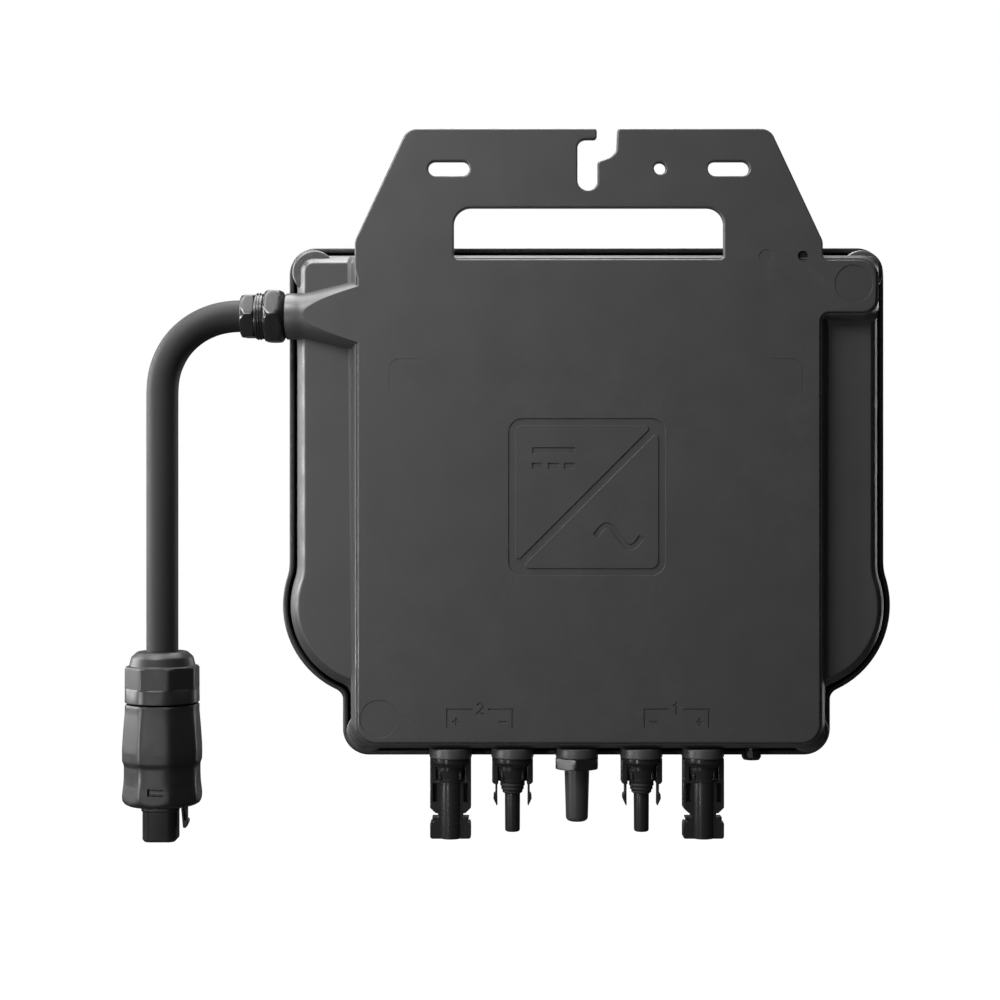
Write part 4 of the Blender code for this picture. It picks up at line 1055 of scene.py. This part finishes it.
# %% Plugs
def make_plug_connector(number, x):
    """Collar and tube, the seal, and two arms: the outline of a leg with its barb, whose x is
    multiplied by -1 for the left one."""
    name, centre = f"dc_plug_{number}", (x, ROW_Y, 0)
    skin = Skin()
    make_collar(skin, x, -246.0)
    lathe(skin, [(2.0, -250.0, 0), (2.0, -266.3, 0.3), (3.15, -266.5, 0.9), (3.25, -250.0, 0),
                 (3.3, -240.0, 0), (2.0, -240.0, 0), (2.0, -250.0, 0)], centre, worn=-266.3)
    make_piece(name + "_skin", skin, MOULDED, stands_for=[name])
    seal = Skin()
    lathe(seal, [(3.3, -245.5, 0), (5.2, -245.5, 0.2), (5.25, -246.6, 0.45), (4.7, -247.3, 0.25),
                 (4.9, -248.1, 0.4), (4.2, -248.8, 0.2), (4.3, -249.5, 0.35), (3.7, -250.0, 0.2),
                 (3.3, -250.0, 0), (3.3, -245.5, 0)], centre)
    make_piece(name + "_seal_skin", seal, RUBBER, stands_for=[name + "_seal"])
    for side, word in ((-1, "left"), (1, "right")):
        corners = [(x + side * u, z, r) for u, z, r in (
            (6.35, -241.0, 0.3), (7.3, -241.0, 0.3), (7.3, -249.8, 0.4), (8.0, -250.4, 0.2),
            (8.1, -252.2, 0.3), (6.6, -255.4, 0.15), (6.35, -254.6, 0.1), (6.4, -250.0, 0.4))]
        arm = Skin()
        solid(arm, rounded(corners), slab_profile(ROW_Y - 2.6, ROW_Y + 2.6, 0.22))
        make_piece(f"{name}_arm_{word}_skin", arm, MOULDED, f"{name}_arm_{word}",
                   [f"{name}_arm_{word}"])


for number, x in ((1, 48.8), (2, -58.1)):
    make_socket(number, x)
for number, x in ((1, 22.7), (2, -31.9)):
    make_plug_connector(number, x)

# %% [markdown]
# ## Antenna
#
# A stub antenna stands between the inputs. Its rubber cap tapers by about two degrees and ends
# in a round edge. The hexagonal foot is for a spanner, so its lower corners are turned off.

# %% Antenna
ANTENNA_X = -4.6


def make_antenna():
    """Foot: six flats, 8.83 mm from the axis, under a turned radius of 10.25. Cap: a turned
    radius that falls from 5.3 at the foot to 4.65 at the tip."""
    foot, place = Skin(), (ANTENNA_X, ROW_Y, 0)
    shape = [(10.0, COLLAR_TOP, 8.83), (10.25, -235.3, 8.83), (10.25, -238.9, 8.83), (9.8, -239.4, 8.83),
             (9.2, -239.6, 8.83)]
    ends(foot, faceted(foot, shape, place, "Z", 6, math.radians(55)))
    make_piece("antenna_foot", foot, MOULDED, stands_for=["antenna_base"])
    cap = Skin()
    lathe(cap, [(0.01, -239.65, 0), (5.3, -239.65, 0.5), (5.25, -241.0, 2.0), (4.65, -261.9, 1.9),
                (0.01, -262.0, 0)], place, step=10.0, worn=-261.0, reach=0.8)
    make_piece("antenna_cap", cap, CAP_RUBBER, stands_for=["antenna_cover"])


make_antenna()

# %% [markdown]
# ## The cable itself
#
# The jacket is a round tube round the smooth line. Its rings stand square to the line: two of
# them, the one along Y and the one across, never twist, because the whole route lies in one
# plane. The tube is a mesh, so its own ring centres are given as its path.

# %% AC cable
def make_cable():
    """Tube: centre + radius * (cos a * Y + sin a * N), N = the tangent crossed with Y."""
    tangent = np.gradient(cable_line, axis=0)
    tangent /= np.linalg.norm(tangent, axis=1)[:, None]
    side = np.array((0.0, 1.0, 0.0))
    across = np.cross(tangent, side)
    angle = np.arange(64) * math.tau / 64
    radius = CABLE_DIAMETER / 2
    rings = (cable_line[:, None, :] + radius * (np.cos(angle)[None, :, None] * side
             + np.sin(angle)[None, :, None] * across[:, None, :]))
    skin = Skin()
    skin.rings(rings)
    ends(skin, rings)
    cable = make_piece("ac_cable_jacket", skin, JACKET, stands_for=["ac_cable"])


make_cable()

# %% [markdown]
# ## Finishes of the frame's own solids
#
# The internals keep the frame's solids, whose shapes are right already. Each gets its own finish.

# %% Finishes of kept solids
KEPT = {"cover_screw": STEEL, "cover_seal": RUBBER, "vent_plug": MOULDED, "main_board": BOARD,
        "potting_slab": POTTING, "transformer_core": FERRITE, "transformer_winding": TAPE,
        "output_choke": COPPER, "bus_capacitor": SLEEVE, "film_capacitor": FILM, "grid_relay": RELAY,
        "ac_terminal_block": MOULDED, "heat_spreader": SPREADER, "thermal_pad": POTTING,
        "radio_board": BOARD, "ac_lead_live": BROWN, "ac_lead_neutral": BLUE, "ac_lead_earth": GREEN,
        "gland": MOULDED, "gland_seal_ring": RUBBER, "ac_cable": JACKET, "plug_nut": PLUG_NYLON,
        "plug_seal": RUBBER, "plug_shell": PLUG_NYLON, "plug_insert": MOULDED, "plug_latch": PLUG_NYLON,
        "plug_contact": BRASS, "dc_socket": MOULDED, "dc_plug": MOULDED, "antenna_base": MOULDED,
        "antenna_cover": CAP_RUBBER, "antenna_element": COPPER, "front_housing": POWDER_COAT,
        "back_cover": RIM_COAT}
KEPT_ENDINGS = {"_contact": TIN, "_pin": TIN, "_seal": RUBBER}


def give_finishes():
    """Each frame solid takes the finish of its longest matching name."""
    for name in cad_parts:
        match = max((key for key in KEPT if name.startswith(key)), key=len)
        material = KEPT[match]
        for ending, metal in KEPT_ENDINGS.items():
            if name.startswith("dc_") and name.endswith(ending):
                material = metal
        node = bpy.data.objects[name]
        node.data.materials.clear()
        node.data.materials.append(material)


give_finishes()
print("finishes given to", len(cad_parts), "frame solids")

# %% [markdown]
# ## Light and background
#
# The camera sees white all round. The light that the surroundings give is a gradient instead,
# brightest above on the left. A matt black casting shows its shape only through what it
# reflects. A panel in front, high on the left, shades the face softly. Large lights above, left
# and right stand behind the panel's plane, where they reach the edges and fillets but not the
# face. A small card low on the left lights the connectors, and a narrow strip in front gives round
# parts their long highlights. The floor lies well below the hanging part.

# %% Light
BRIGHT_SIDE = (-0.62, 0.10, 0.78)
FLOOR_RADIUS, FLOOR_LEVEL = 8000, -1300.0


def make_world():
    """Sky of one direction gradient: brightness follows the dot product with the bright side."""
    world = bpy.data.worlds.new("white_studio")
    world.use_nodes = True
    bpy.context.scene.world = world
    tree = world.node_tree
    sky, link = tree.nodes["Background"].inputs, tree.links.new
    place = add_node(tree, "TexCoord")
    towards = add_node(tree, "VectorMath", {"operation": "DOT_PRODUCT"},
                       {1: Vector(BRIGHT_SIDE).normalized()})
    ramp = add_node(tree, "MapRange", {"interpolation_type": "SMOOTHSTEP"},
                    {"From Min": -0.75, "From Max": 1.0, "To Min": 0.0, "To Max": 0.25})
    seen = add_node(tree, "LightPath")
    choose = add_node(tree, "Mix", values={"B": 1.0})
    sky["Color"].default_value = (1, 1, 1, 1)
    link(place.outputs["Generated"], towards.inputs[0])
    link(towards.outputs["Value"], ramp.inputs["Value"])
    link(seen.outputs["Is Camera Ray"], choose.inputs["Factor"])
    link(ramp.outputs["Result"], choose.inputs["A"])
    link(choose.outputs["Result"], sky["Strength"])


def area_light(name, place, target, size, power):
    """A soft rectangular light that faces its target; places and sizes in metres."""
    data = bpy.data.lights.new(name, "AREA")
    data.shape = "RECTANGLE"
    data.size, data.size_y = size
    data.energy = power
    lamp = bpy.data.objects.new(name, data)
    lamp.location = place
    lamp.rotation_euler = (Vector(target) - Vector(place)).to_track_quat("-Z", "Y").to_euler()
    lamp.visible_camera = False
    bpy.context.scene.collection.objects.link(lamp)


def make_floor():
    """A pale round floor, well below the part, which hangs from its rail."""
    data = bpy.data.meshes.new("studio_floor")
    loop = upright(circle(0, 0, FLOOR_RADIUS, 96), FLOOR_LEVEL, "Z") * MM
    data.from_pydata(loop.tolist(), [], [list(range(96))])
    material = bpy.data.materials.new("pale_floor")
    material.use_nodes = True
    shader = material.node_tree.nodes["Principled BSDF"].inputs
    shader["Base Color"].default_value = (0.12, 0.12, 0.12, 1)
    shader["Roughness"].default_value = 0.9
    shader["Emission Color"].default_value = (1, 1, 1, 1)
    seen = add_node(material.node_tree, "LightPath")
    material.node_tree.links.new(seen.outputs["Is Camera Ray"], shader["Emission Strength"])
    data.materials.append(material)
    floor = bpy.data.objects.new("studio_floor", data)
    bpy.context.scene.collection.objects.link(floor)


bpy.context.scene.view_settings.view_transform = "Standard"
make_world()
make_floor()
for lamp in [
        ("key_panel", (-0.36, -0.36, 0.36), (-0.08, 0, 0.0), (0.26, 0.26), 4.4),
        ("top_softbox", (-0.15, 0.16, 0.60), (-0.05, 0.06, -0.1), (0.9, 0.5), 13.0),
        ("left_softbox", (-0.74, 0.16, 0.06), (0.0, 0.06, -0.10), (0.44, 0.6), 8.0),
        ("right_softbox", (0.52, 0.74, -0.05), (0.1, 0.04, -0.12), (0.3, 0.6), 2.2),
        ("low_card", (-0.66, -0.27, -0.25), (-0.02, 0.01, -0.24), (0.07, 0.07), 1.5),
        ("front_strip", (-0.46, -0.85, -0.22), (-0.03, 0, -0.22), (0.03, 0.45), 1.4)]:
    area_light(*lamp)
print(len(bpy.data.lights), "soft lights")
